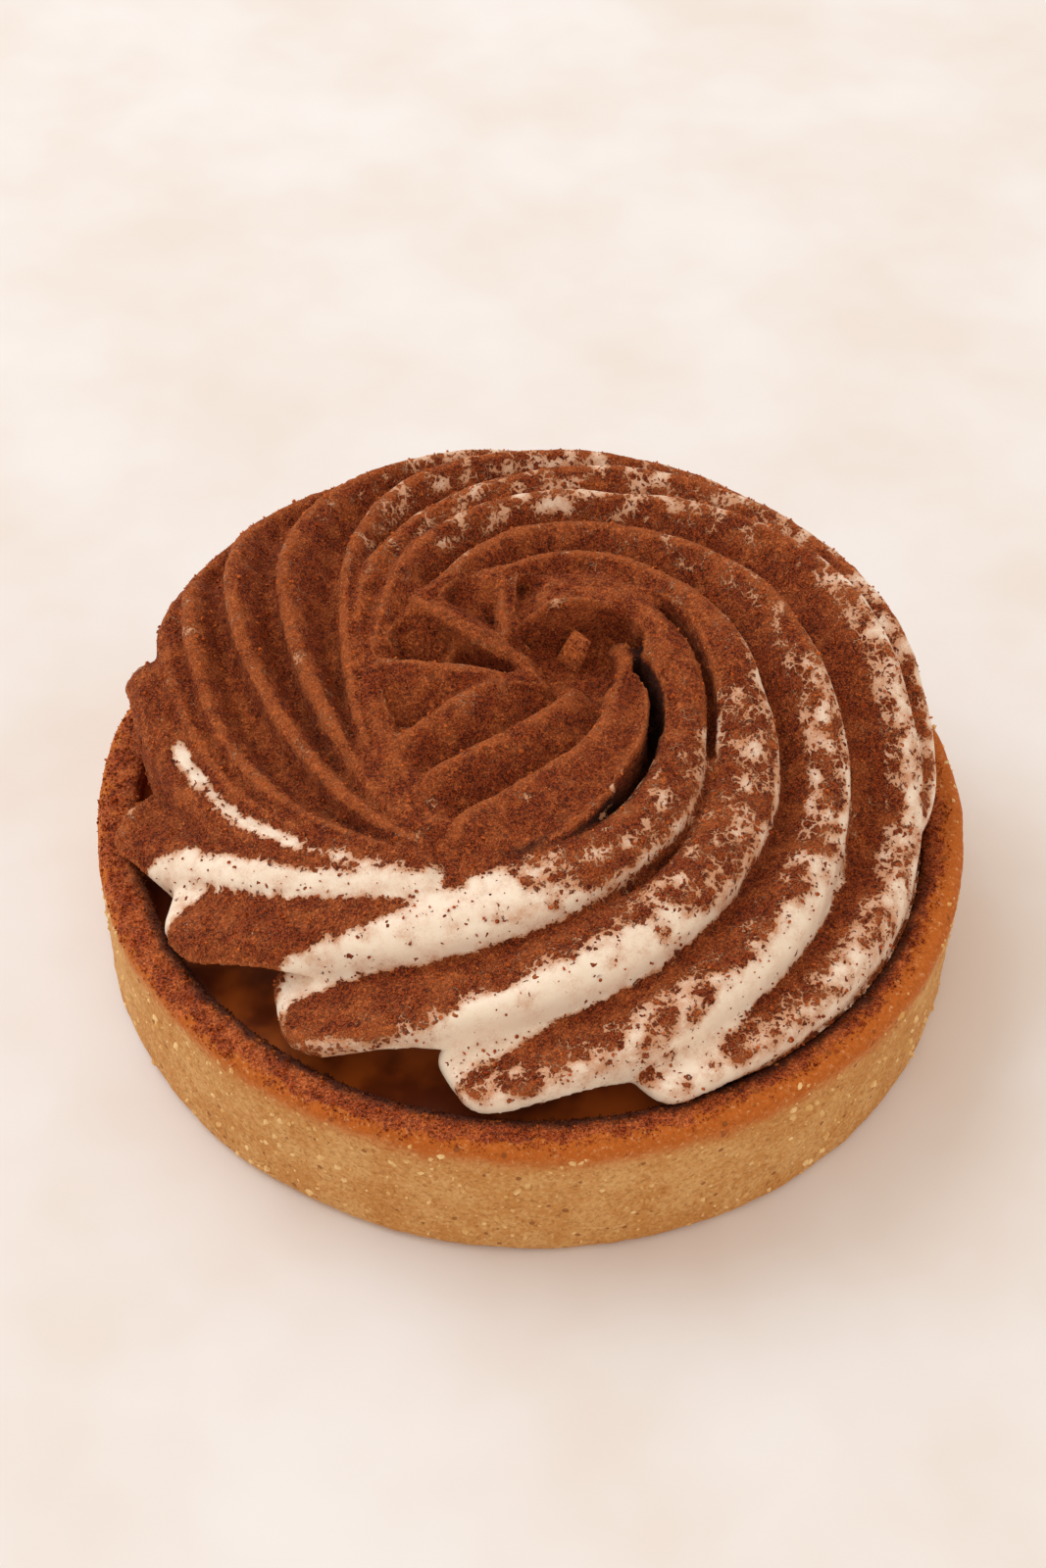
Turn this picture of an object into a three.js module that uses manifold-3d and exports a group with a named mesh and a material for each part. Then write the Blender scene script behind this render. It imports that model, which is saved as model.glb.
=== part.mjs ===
// Coffee tartlet: a short pastry shell filled with coffee caramel, under a piped swirl of cream.
// Units are millimetres, +Z is up, and the origin is the middle of the underside.

import * as THREE from 'three';
import { ParametricGeometry } from 'three/addons/geometries/ParametricGeometry.js';
import { mergeVertices } from 'three/addons/utils/BufferGeometryUtils.js';
import Module from 'manifold-3d';

const wasm = await Module();
wasm.setup();

// ---- driving dimensions ----------------------------------------------------

// Pastry shell: a straight-sided ring case, 80 mm across.
const SHELL_RADIUS = 40;
const SHELL_HEIGHT = 14.9;
const WALL = 3.8;
const BASE = 3.2;
const FOOT_ROUND = 1.2;
const RIM_ROUND = 1.1;
const CORNER_ROUND = 2;
const SHELL_SIDES = 60;

// Coffee caramel: poured to a little below the rim, and drawn up the wall where it meets it.
const GAP = 0.3;
const FILLING_TOP = 12.4;
const MENISCUS = 0.6;
const FILLING_SIDES = 40;

// Cream: every ridge turns counterclockwise about the eye of the swirl.
const EYE_X = 3.9;
const EYE_Y = 6.5;
const EYE_REACH = 7.5;
const EYE_DEPTH = 3.4;
const PETAL_REACH = 38;
const CREAM_LIMIT = 38.6;

// Height of the ridge tops: it falls from the crown at the middle to the brim at the edge. The
// front falls in a long slope, and the back is a tall shoulder that drops steeply.
const BRIM = 16.2;
const BRIM_RADIUS = 38;
const FRONT = { crown: 27, round: 3.2, sweep: 1.15, edge: -12 };
const BACK = { crown: 31, round: 10, sweep: 0.5, edge: 14 };

// The fold where the outer ridges are drawn together, as an angle and a radius about the eye.
const FOLD_ANGLE = 258;
const FOLD_ANGLE_STEP = 2;
const FOLD_RADIUS = 24;
const FOLD_RADIUS_STEP = 0.45;

// Core under the ridges: its drop below their tops grows from the eye outwards.
const CORE_RADIUS = 31.5;
const CORE_RINGS = 8;
const CORE_SIDES = 40;
const CORE_LOWEST = 1;
const EYE_DROP = { depth: 1.6, radius: 4 };
const CORE_DROP = { depth: 2.9, radius: 14 };

// A ridge along its length: it is a thin flat lip at the tip, overhanging the filling, and then a
// steep ridge down to the filling. The lip ends on a slant, and the tail sinks into its neighbours.
const TIP_LENGTH = 1.6;
const SLANT_FADE = 12;
const LIP_START = 3;
const LIP_END = 12;
const TAIL_DROP = 2.6;
const TAIL_DROP_START = 0.9;
const TAPER = 45;
const STEP = 5;
const LEAST_STEPS = 4;
const LENGTH_SAMPLES = 40;
const CAP_TURNS = [0, 0.45, 1];

// A ridge's section: a steep face on its side, a rounded crest, and a top that slopes inwards.
const SECTION_POINTS = 6;
const FACE_BULGE = { across: 0.9, down: 1 };
const TOP_MIDDLE = { across: 0.45, down: 0.3 };
const FACE_FOOT = 0.3;
const BACK_FOOT = 0.6;

const PETAL_FORM = {
  side: 1,
  tipWidth: 11,
  tailWidth: 5.2,
  tipSlope: 0.6,
  tailSlope: 3.2,
  tipHeight: 2.2,
  slant: 0.34,
};
const RIBBON_FORM = { ...PETAL_FORM, tipWidth: 8, tailWidth: 3.6, tailSlope: 2.6 };
const TONGUE_FORM = { ...PETAL_FORM, tipHeight: 4.5, tipSlope: 3.4, tailSlope: 2.4, slant: 0 };
const TONGUE_TAPER = 0.5;

// Petals: each starts at a blunt tip by the rim and winds in to its own radius about the eye.
const PETALS = [
  { tip: -145, settle: 36, radius: 7.5, fall: 2, end: 118 },
  { tip: -123, settle: 64, radius: 10, fall: 2, end: 135 },
  { tip: -101, settle: 84, radius: 13.6, fall: 1.9, end: 165 },
  { tip: -80, settle: 82, radius: 18, fall: 1.25, end: 188 },
];

// Ribbons: they run round the back, come down the left side and are drawn together at the fold.
// hold is the radius kept until the angle leave, and dip is how far the ribbon bows in after it.
const RIBBONS = [
  { tip: -32, settle: 150, hold: 20.4, fall: 2, leave: 150, dip: 2.2 },
  { tip: 2, settle: 80, hold: 25.8, fall: 1, leave: 118, dip: 4.2 },
  { tip: 42, settle: 110, hold: 29.7, fall: 1, leave: 148, dip: 2.9 },
  { tip: 82, settle: 150, hold: 34.6, fall: 1, leave: 155, dip: 2.2 },
  { tip: 118, settle: 165, hold: 37.2, fall: 1, leave: 166, dip: 0.3 },
  { tip: 158, settle: 176, hold: 38, fall: 1, leave: 176, dip: -0.5 },
  { tip: 178, settle: 181, hold: 39.4, fall: 1, leave: 181, dip: -0.8 },
  { tip: 197, settle: 201, hold: 41.6, fall: 1, leave: 201, dip: 2.8 },
];

// Tongues: from inside the ribbons to the eye. side is +1 where the steep face is on the right.
const TONGUES = [
  { angle: 137, from: 9.5, to: 6, bend: 48, side: 1, width: 3 },
  { angle: 170, from: 14.7, to: 3.6, bend: 38, side: 1, width: 5.5 },
  { angle: 192, from: 18.9, to: 3.2, bend: 38, side: -1, width: 5 },
  { angle: 217, from: 22.3, to: 3, bend: -6, side: -1, width: 7 },
  { angle: 229, from: 23.4, to: 2.4, bend: 42, side: -1, width: 7.4 },
  { angle: 243, from: 24.6, to: 3.4, bend: 78, side: -1, width: 7.8 },
];

// ---- helpers ----------------------------------------------------------------

const radians = THREE.MathUtils.degToRad;
const lerp = THREE.MathUtils.lerp;
const smoothstep = THREE.MathUtils.smoothstep;

/** Merges a geometry's shared vertices, drops what closes to a line, and faces the rest outwards. */
function sealed(geometry) {
  const bare = geometry.clone();
  bare.deleteAttribute('normal');
  bare.deleteAttribute('uv');
  const merged = mergeVertices(bare, 1e-4);
  const corner = (i) => new THREE.Vector3().fromBufferAttribute(merged.attributes.position, i);
  const kept = [];
  let volume = 0;
  for (let i = 0; i < merged.index.count; i += 3) {
    const [a, b, c] = merged.index.array.slice(i, i + 3);
    if (a !== b && b !== c && c !== a) {
      kept.push(a, b, c);
      volume += corner(a).dot(corner(b).cross(corner(c)));
    }
  }
  merged.setIndex(volume < 0 ? kept.reverse() : kept);
  return merged;
}

/** Turns a closed geometry into a solid that can be joined and cut. */
function solid(geometry) {
  const merged = sealed(geometry);
  const vertProperties = Float32Array.from(merged.attributes.position.array);
  const triVerts = Uint32Array.from(merged.index.array);
  return new wasm.Manifold(new wasm.Mesh({ numProp: 3, vertProperties, triVerts }));
}

/** Turns a solid back into a geometry. */
function geometryOf(body) {
  const mesh = body.getMesh();
  const geometry = new THREE.BufferGeometry();
  geometry.setAttribute('position', new THREE.BufferAttribute(mesh.vertProperties, 3));
  geometry.setIndex(new THREE.BufferAttribute(mesh.triVerts, 1));
  return geometry;
}

/** Turns an outline of [radius, height] points about the Z axis. */
function turned(outline, sides) {
  const points = outline.map(([radius, height]) => new THREE.Vector2(radius, height));
  const geometry = new THREE.LatheGeometry(points, sides);
  geometry.rotateX(Math.PI / 2);
  return sealed(geometry);
}

/** Points of a rounded corner, as an arc of an outline from one angle to another in degrees. */
function rounded(radius, height, round, from, to, steps = 2) {
  const points = [];
  for (let i = 0; i <= steps; i += 1) {
    const angle = radians(lerp(from, to, i / steps));
    points.push([radius + round * Math.cos(angle), height + round * Math.sin(angle)]);
  }
  return points;
}

// ---- pastry shell and filling -------------------------------------------------

/** The shell: a flat floor, a straight wall and a rim with rounded edges. */
function tartShell() {
  const inner = SHELL_RADIUS - WALL;
  const outline = [
    [0, 0],
    ...rounded(SHELL_RADIUS - FOOT_ROUND, FOOT_ROUND, FOOT_ROUND, -90, 0),
    ...rounded(SHELL_RADIUS - RIM_ROUND, SHELL_HEIGHT - RIM_ROUND, RIM_ROUND, 0, 90),
    ...rounded(inner + RIM_ROUND, SHELL_HEIGHT - RIM_ROUND, RIM_ROUND, 90, 180),
    ...rounded(inner - CORNER_ROUND, BASE + CORNER_ROUND, CORNER_ROUND, 0, -90),
    [0, BASE],
  ];
  return turned(outline, SHELL_SIDES);
}

/** The filling: a flat pool whose edge climbs the wall a little. */
function coffeeFilling() {
  const floor = BASE + GAP;
  const edge = SHELL_RADIUS - WALL - GAP;
  const outline = [
    [0, floor],
    ...rounded(edge - CORNER_ROUND, floor + CORNER_ROUND, CORNER_ROUND, -90, 0),
    [edge, FILLING_TOP + MENISCUS],
    [edge - MENISCUS, FILLING_TOP + MENISCUS / 3],
    [edge - 3 * MENISCUS, FILLING_TOP],
    [0, FILLING_TOP],
  ];
  return turned(outline, FILLING_SIDES);
}

// ---- cream ------------------------------------------------------------------

/** Height of one half's ridge tops at a distance from the middle. */
function halfHeight(half, out) {
  const left = Math.max(0, 1 - (out / BRIM_RADIUS) ** half.round);
  return BRIM + (half.crown - BRIM) * left ** half.sweep;
}

/** Height of the ridge tops over a place, with the hollow of the eye. */
function crownHeight(x, y) {
  const out = Math.hypot(x, y);
  const eye = EYE_DEPTH * Math.exp(-((Math.hypot(x - EYE_X, y - EYE_Y) / EYE_REACH) ** 2));
  const behind = smoothstep(y, FRONT.edge, BACK.edge);
  return lerp(halfHeight(FRONT, out), halfHeight(BACK, out), behind) - eye;
}

/** Distance from the eye, at an angle about it, to the circle that the petal tips lie on. */
function reach(angle) {
  const along = EYE_X * Math.cos(radians(angle)) + EYE_Y * Math.sin(radians(angle));
  return Math.sqrt(PETAL_REACH ** 2 - EYE_X ** 2 - EYE_Y ** 2 + along ** 2) - along;
}

/** Place of a ridge's crest at a radius and an angle about the eye. */
function crest(radius, angle) {
  const x = EYE_X + radius * Math.cos(radians(angle));
  const y = EYE_Y + radius * Math.sin(radians(angle));
  return new THREE.Vector3(x, y, crownHeight(x, y));
}

/** Radius of a ridge before it settles. */
function approach(ridge, radius, angle) {
  const left = Math.max(0, (ridge.settle - angle) / (ridge.settle - ridge.tip));
  return radius + (reach(ridge.tip) - radius) * left ** ridge.fall;
}

/** Crest of a petal at a share t of its length. */
function petalCrest(petal, t) {
  const angle = lerp(petal.tip, petal.end, t);
  return crest(approach(petal, petal.radius, angle), angle);
}

/** Crest of a ribbon: it winds in, holds its radius, and then turns in to its place at the fold. */
function ribbonCrest(ribbon, order, t) {
  const angle = lerp(ribbon.tip, FOLD_ANGLE - FOLD_ANGLE_STEP * order, t);
  const turn = Math.max(0, (angle - ribbon.leave) / (FOLD_ANGLE - ribbon.leave));
  const fold = FOLD_RADIUS + FOLD_RADIUS_STEP * order;
  const radius = lerp(approach(ribbon, ribbon.hold, angle), fold, turn);
  return crest(radius - ribbon.dip * Math.sin(Math.PI * turn) ** 2, angle);
}

/** Crest of a tongue: it runs in towards the eye and bends round it. */
function tongueCrest(tongue, t) {
  return crest(lerp(tongue.from, tongue.to, t), tongue.angle + tongue.bend * t * t);
}

/** The points of a ridge's section: across is outwards from the crest, down is below it. */
function sectionOf(width, height, slope) {
  return [
    FACE_BULGE,
    { across: 0, down: 0 },
    { across: -TOP_MIDDLE.across * width, down: TOP_MIDDLE.down * slope },
    { across: -width, down: slope },
    { across: BACK_FOOT - width, down: height },
    { across: FACE_FOOT, down: height },
  ];
}

/** A ridge of cream along a crest line, closed by a blunt tip and a rounded tail. */
function ridge(crestAt, form) {
  let length = 0;
  for (let i = 0; i < LENGTH_SAMPLES; i += 1) {
    length += crestAt(i / LENGTH_SAMPLES).distanceTo(crestAt((i + 1) / LENGTH_SAMPLES));
  }
  const body = Math.max(LEAST_STEPS, Math.round(length / STEP));
  const caps = CAP_TURNS.length - 1;
  const slices = body + 2 * caps;
  const cap = TIP_LENGTH / length;

  const station = (i) => {
    const fromEnd = Math.min(i, slices - i);
    const turn = (CAP_TURNS[Math.min(fromEnd, caps)] * Math.PI) / 2;
    const inset = cap * (1 - Math.cos(turn));
    const scale = Math.sin(turn) ** 0.5;
    if (i <= caps) return { t: inset, scale };
    if (i >= slices - caps) return { t: 1 - inset, scale };
    return { t: lerp(cap, 1 - cap, (i - caps) / body), scale };
  };

  const place = (u, v, target) => {
    const { t, scale } = station(Math.round(u * slices));
    const travel = t * length;
    const along = crestAt(Math.min(1, t + 0.01)).sub(crestAt(Math.max(0, t - 0.01)));
    along.z = 0;
    along.normalize();
    const outwards = new THREE.Vector3(along.y, -along.x, 0).multiplyScalar(form.side);
    const taper = smoothstep(travel, 0, TAPER);
    const width = lerp(form.tipWidth, form.tailWidth, taper);
    const slope = lerp(form.tipSlope, form.tailSlope, taper);
    const top = crestAt(t);
    top.z -= TAIL_DROP * smoothstep(t, TAIL_DROP_START, 1);
    const lip = smoothstep(travel, LIP_START, LIP_END);
    const height = lerp(form.tipHeight, top.z - FILLING_TOP, lip);
    const slant = form.slant * (1 - smoothstep(travel, 0, SLANT_FADE));
    const corner = Math.round(v * SECTION_POINTS) % SECTION_POINTS;
    const point = sectionOf(width, height, slope)[corner];
    const middle = { across: -TOP_MIDDLE.across * width, down: height / 2 };
    const across = middle.across + (point.across - middle.across) * scale;
    const down = middle.down + (point.down - middle.down) * scale;
    target.copy(top);
    target.addScaledVector(outwards, across).addScaledVector(along, across * slant);
    target.z -= down;
  };
  return solid(new ParametricGeometry(place, slices, SECTION_POINTS));
}

/** The cream's core: it stands on the filling and follows the ridge tops a little below them. */
function creamCore() {
  const place = (u, v, target) => {
    const level = Math.round(v * (CORE_RINGS + 1));
    const radius = CORE_RADIUS * Math.sin((Math.PI / 2) * Math.min(1, level / CORE_RINGS));
    const angle = (2 * Math.PI * (Math.round(u * CORE_SIDES) % CORE_SIDES)) / CORE_SIDES;
    const x = radius * Math.cos(angle);
    const y = radius * Math.sin(angle);
    const away = smoothstep(Math.hypot(x - EYE_X, y - EYE_Y), EYE_DROP.radius, CORE_DROP.radius);
    const top = crownHeight(x, y) - lerp(EYE_DROP.depth, CORE_DROP.depth, away);
    target.set(x, y, Math.max(FILLING_TOP + CORE_LOWEST, top));
    if (level > CORE_RINGS) target.set(0, 0, FILLING_TOP);
  };
  return solid(new ParametricGeometry(place, CORE_SIDES, CORE_RINGS + 1));
}

/** What the cream has to stay clear of: the shell with its rim, the filling, and the air outside. */
function clearance() {
  const inner = SHELL_RADIUS - WALL - GAP;
  const far = 2 * SHELL_RADIUS;
  const high = 2 * BACK.crown;
  const outline = [
    [0, -BASE],
    [far, -BASE],
    [far, high],
    [CREAM_LIMIT, high],
    [CREAM_LIMIT, SHELL_HEIGHT + GAP],
    [inner, SHELL_HEIGHT + GAP],
    [inner, FILLING_TOP + MENISCUS + GAP],
    [inner - 3 * MENISCUS, FILLING_TOP + GAP],
    [0, FILLING_TOP + GAP],
  ];
  return solid(turned(outline, SHELL_SIDES));
}

/** All the ridges joined to the core, cut clear of the shell and the filling. */
function creamSwirl() {
  const bodies = [
    ...PETALS.map((petal) => ridge((t) => petalCrest(petal, t), PETAL_FORM)),
    ...RIBBONS.map((ribbon, order) => ridge((t) => ribbonCrest(ribbon, order, t), RIBBON_FORM)),
    ...TONGUES.map((tongue) => {
      const { side, width } = tongue;
      const form = { ...TONGUE_FORM, side, tipWidth: width, tailWidth: TONGUE_TAPER * width };
      return ridge((t) => tongueCrest(tongue, t), form);
    }),
  ];
  const joined = bodies.reduce((whole, body) => whole.add(body), creamCore());
  return geometryOf(joined.subtract(clearance()));
}

// ---- assembly ---------------------------------------------------------------

/** A named mesh with its own material. */
function piece(name, geometry, color, roughness) {
  const material = new THREE.MeshStandardMaterial({ color, roughness, metalness: 0 });
  const mesh = new THREE.Mesh(geometry, material);
  mesh.name = name;
  return mesh;
}

const tartlet = new THREE.Group();
tartlet.add(piece('tart_shell', tartShell(), '#d29a58', 0.8));
tartlet.add(piece('coffee_filling', coffeeFilling(), '#5a2a10', 0.15));
tartlet.add(piece('cream_swirl', creamSwirl(), '#8a4226', 0.7));

export default tartlet;
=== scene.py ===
"""Coffee tartlet: the looks of a pastry shell, coffee caramel and a piped swirl of cream under cocoa.

Shapes are worked out in millimetres and turned to metres when a piece is finished. The frame is the
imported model's: +Z is up, and the origin is the middle of the shell's underside.
"""

import logging
import math
from collections.abc import Callable
from dataclasses import dataclass, field, replace
from enum import Enum
from functools import partial

import bmesh
import bpy
import numpy as np
from mathutils import Matrix, Vector, kdtree, noise


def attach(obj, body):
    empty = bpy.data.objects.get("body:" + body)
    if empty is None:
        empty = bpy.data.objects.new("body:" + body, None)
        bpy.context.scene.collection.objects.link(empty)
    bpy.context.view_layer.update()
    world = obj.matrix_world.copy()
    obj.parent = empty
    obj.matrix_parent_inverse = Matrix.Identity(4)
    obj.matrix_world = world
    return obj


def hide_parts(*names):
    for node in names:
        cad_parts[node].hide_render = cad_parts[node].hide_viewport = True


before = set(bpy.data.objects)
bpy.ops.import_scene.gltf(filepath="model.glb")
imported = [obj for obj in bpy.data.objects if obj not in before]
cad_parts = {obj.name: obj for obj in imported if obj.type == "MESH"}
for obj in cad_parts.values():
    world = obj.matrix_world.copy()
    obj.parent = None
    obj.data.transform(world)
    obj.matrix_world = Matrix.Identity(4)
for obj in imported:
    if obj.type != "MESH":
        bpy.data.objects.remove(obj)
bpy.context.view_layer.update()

log = logging.getLogger("tartlet")
MM = 0.001
BODY = "root"


class Node(Enum):
    """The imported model's nodes."""

    SHELL = "tart_shell"
    FILLING = "coffee_filling"
    CREAM = "cream_swirl"


class Slot(Enum):
    """The record's material slots."""

    CRUST = "baked_crust"
    CARAMEL = "coffee_caramel"
    CREAM = "whipped_cream"


# ---- small helpers ----------------------------------------------------------


def lerp(low: float, high: float, share: float) -> float:
    """Value at a share of the way from low to high."""
    return low + (high - low) * share


def smoothstep(low: float, high: float, value: np.ndarray) -> np.ndarray:
    """Smooth 0 to 1 step of each number in an array, from low to high."""
    share = np.clip((value - low) / (high - low), 0.0, 1.0)
    return share * share * (3.0 - 2.0 * share)


def ease(low: float, high: float, value: float) -> float:
    """Smooth 0 to 1 step of one number, from low to high."""
    share = min(1.0, max(0.0, (value - low) / (high - low)))
    return share * share * (3.0 - 2.0 * share)


def linear(code: str, alpha: float = 1.0) -> tuple[float, float, float, float]:
    """Linear colour of an sRGB hex code.

    Args:
        code: six hex digits, such as "d29a58".
        alpha: opacity.

    Returns:
        Linear red, green, blue and alpha.
    """
    parts = [int(code[i : i + 2], 16) / 255.0 for i in (0, 2, 4)]
    red, green, blue = (c / 12.92 if c <= 0.04045 else ((c + 0.055) / 1.055) ** 2.4 for c in parts)
    return red, green, blue, alpha


def wobble(point: Vector, size: float, seed: float = 0.0) -> float:
    """Soft noise from -1 to 1 at a place, with lumps of a size in the same unit as the place."""
    return noise.noise(point / size + Vector((seed, -seed, 2.0 * seed)))


def wobbles(points: list[Vector], *layers: tuple[float, float, float]) -> np.ndarray:
    """Sums of soft noises at places.

    Args:
        points: the places.
        layers: each noise's strength, the size of its lumps and its seed.

    Returns:
        One sum per place.
    """
    return np.array([sum(share * wobble(point, *lumps) for share, *lumps in layers) for point in points])


# ---- meshes -------------------------------------------------------------------


def meshed(bm: bmesh.types.BMesh, name: str) -> bpy.types.Mesh:
    """A new mesh of the shape that was worked on, which is freed."""
    mesh = bpy.data.meshes.new(name)
    bm.to_mesh(mesh)
    bm.free()
    return mesh


def law_surface(bm: bmesh.types.BMesh, steps: tuple[int, int], law: Callable) -> list:
    """Adds a closed surface: a grid that a law bends round, with its seams merged.

    Args:
        bm: mesh to add to.
        steps: quads along u and along v.
        law: gives the place of the grid point (i, j).

    Returns:
        The surface's vertices.
    """
    across, around = steps
    grid = bmesh.ops.create_grid(bm, x_segments=across, y_segments=around, size=0.5)["verts"]
    for vert in grid:
        i = round((vert.co.x + 0.5) * across)
        j = round((vert.co.y + 0.5) * around)
        vert.co = law(i, j)
    bmesh.ops.remove_doubles(bm, verts=grid, dist=1e-4)
    return [vert for vert in grid if vert.is_valid]


def spun(outline: list[tuple[float, float]], sides: int) -> bmesh.types.BMesh:
    """Turns an outline round the Z axis.

    Args:
        outline: its distances outwards and heights, from the axis round to the axis.
        sides: number of steps.

    Returns:
        The closed shape. Its vertices come in the same order at each run.
    """
    bm = bmesh.new()

    def law(i: int, j: int) -> Vector:
        """Place of the grid point (i, j): i turns about the axis, j runs along the outline."""
        out, up = outline[j]
        turn = math.tau * (i % sides) / sides
        return Vector((out * math.cos(turn), out * math.sin(turn), up))

    law_surface(bm, (sides, len(outline) - 1), law)
    bmesh.ops.recalc_face_normals(bm, faces=bm.faces)
    return bm


def finish_piece(
    name: str,
    mesh: bpy.types.Mesh,
    material: bpy.types.Material,
    slot: Slot,
    stands_for: Node | None = None,
    smooth: bool = True,
) -> bpy.types.Object:
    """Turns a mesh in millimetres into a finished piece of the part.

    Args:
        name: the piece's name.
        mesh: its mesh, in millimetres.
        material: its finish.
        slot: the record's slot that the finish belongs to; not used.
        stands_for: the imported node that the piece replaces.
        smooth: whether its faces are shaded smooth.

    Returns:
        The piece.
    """
    mesh.transform(Matrix.Scale(MM, 4))
    mesh.shade_smooth() if smooth else mesh.shade_flat()
    mesh.materials.clear()
    mesh.materials.append(material)
    mesh.name = name
    piece = bpy.data.objects.new(name, mesh)
    bpy.context.scene.collection.objects.link(piece)
    if stands_for is not None:
        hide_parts(stands_for.value)
    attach(piece, BODY)
    mesh.calc_loop_triangles()
    log.info("%s: %d triangles", name, len(mesh.loop_triangles))
    return piece


def baked(source: bpy.types.Mesh, modifiers: list[tuple[str, dict]]) -> bpy.types.Mesh:
    """Passes a mesh through modifiers.

    Args:
        source: the mesh, which is used up.
        modifiers: the kind and the settings of each modifier.

    Returns:
        The new mesh.
    """
    carrier = bpy.data.objects.new("carrier", source)
    bpy.context.scene.collection.objects.link(carrier)
    for kind, settings in modifiers:
        modifier = carrier.modifiers.new(kind.lower(), kind)
        for name, value in settings.items():
            setattr(modifier, name, value)
    graph = bpy.context.evaluated_depsgraph_get()
    result = bpy.data.meshes.new_from_object(carrier.evaluated_get(graph))
    bpy.data.objects.remove(carrier)
    bpy.data.meshes.remove(source)
    return result


def vertex_array(mesh: bpy.types.Mesh, name: str) -> np.ndarray:
    """The vertices' co or normal as rows of three."""
    values = np.empty(len(mesh.vertices) * 3, np.float32)
    mesh.vertices.foreach_get(name, values)
    return values.reshape(-1, 3).astype(float)


def store(mesh: bpy.types.Mesh, name: str, values: np.ndarray) -> None:
    """Stores one number per vertex, for the finishes to read."""
    layer = mesh.attributes.new(name, "FLOAT", "POINT")
    layer.data.foreach_set("value", values.astype(np.float32))


def spread(mesh: bpy.types.Mesh, values: np.ndarray, rounds: int) -> np.ndarray:
    """Evens out one number per vertex with its neighbours'.

    Args:
        mesh: the mesh.
        values: the numbers.
        rounds: how often each takes half of its neighbours' mean.

    Returns:
        The evened numbers.
    """
    ends = np.empty(len(mesh.edges) * 2, np.int32)
    mesh.edges.foreach_get("vertices", ends)
    first, second = np.concatenate((ends[::2], ends[1::2])), np.concatenate((ends[1::2], ends[::2]))
    count = np.maximum(1, np.bincount(first, minlength=len(values)))
    for _ in range(rounds):
        around = np.bincount(first, weights=values[second], minlength=len(values)) / count
        values = 0.5 * (values + around)
    return values


# ---- the swirl's laws -----------------------------------------------------------


@dataclass(frozen=True)
class Half:
    """How the ridge tops fall from the crown to the brim on one half, in millimetres.

    round and sweep are the powers of the fall, and edge is where the half gives way to the other, along Y.
    """

    crown: float
    round: float
    sweep: float
    edge: float


@dataclass(frozen=True)
class SwirlLaw:
    """Where the cream's ridges run, in millimetres."""

    eye: Vector = field(default_factory=lambda: Vector((3.9, 6.5)))
    eye_reach: float = 7.5
    eye_depth: float = 3.4
    petal_reach: float = 36.8
    brim: float = 16.2
    brim_radius: float = 38.0
    front: Half = Half(27.0, 3.2, 1.15, -12.0)
    back: Half = Half(31.0, 10.0, 0.5, 14.0)
    filling_top: float = 12.4

    def half_height(self, half: Half, out: float) -> float:
        """Height of one half's ridge tops at a distance from the tartlet's middle."""
        left = max(0.0, 1.0 - (out / self.brim_radius) ** half.round)
        return self.brim + (half.crown - self.brim) * left**half.sweep

    def crown(self, x: float, y: float) -> float:
        """Height of the ridge tops, with the hollow of the eye.

        Args:
            x: distance of the place to the right of the tartlet's middle.
            y: its distance to the back.

        Returns:
            The height over the tartlet's underside.
        """
        out = math.hypot(x, y)
        away = math.hypot(x - self.eye.x, y - self.eye.y)
        hollow = self.eye_depth * math.exp(-((away / self.eye_reach) ** 2))
        behind = ease(self.front.edge, self.back.edge, y)
        low, high = self.half_height(self.front, out), self.half_height(self.back, out)
        return lerp(low, high, behind) - hollow

    def reach(self, angle: float) -> float:
        """Distance from the eye, at an angle about it, to the circle of the petal tips."""
        turn = math.radians(angle)
        along = self.eye.x * math.cos(turn) + self.eye.y * math.sin(turn)
        return math.sqrt(self.petal_reach**2 - self.eye.length_squared + along**2) - along

    def crest(self, radius: float, angle: float) -> Vector:
        """Place of a crest at a radius and an angle about the eye."""
        x = self.eye.x + radius * math.cos(math.radians(angle))
        y = self.eye.y + radius * math.sin(math.radians(angle))
        return Vector((x, y, self.crown(x, y)))


LAW = SwirlLaw()


@dataclass(frozen=True)
class Span:
    """A stretch of angles about the eye, with soft ends."""

    start: float = 0.0
    full: float = 0.0
    last: float = 0.0
    gone: float = 0.0
    most: float = 0.0

    def at(self, angle: float) -> float:
        """Strength at an angle, from 0 up to the stretch's most."""
        if self.most == 0.0:
            return 0.0
        return self.most * ease(self.start, self.full, angle) * (1.0 - ease(self.last, self.gone, angle))


@dataclass(frozen=True)
class Form:
    """A ridge's section from its tip to its tail.

    rope is where it is round, with a steep inner wall, and roll is where its outer face bulges.
    """

    tip_width: float = 11.0
    tail_width: float = 5.2
    tip_slope: float = 0.06
    tail_slope: float = 0.75
    most_slope: float = 3.6
    tip_height: float = 2.2
    slant: float = 0.34
    side: int = 1
    taper: float = 45.0
    draw: float = 1.0
    rope: Span = Span()
    roll: Span = Span()


PETAL_FORM = Form(draw=1.6)
RIBBON_FORM = Form(tip_width=8.0, tail_width=4.0)
TONGUE_FORM = Form(tip_height=4.5, tip_slope=0.45, tail_slope=0.6, most_slope=4.5, slant=0.0, taper=2.0)


@dataclass(frozen=True)
class Ridge:
    """A ridge of cream along a crest line."""

    form: Form

    def crest(self, share: float) -> Vector:
        """Crest at a share of the ridge's length."""
        raise NotImplementedError

    def angle_at(self, share: float) -> float:
        """Angle about the eye at a share of the ridge's length."""
        raise NotImplementedError


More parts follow.
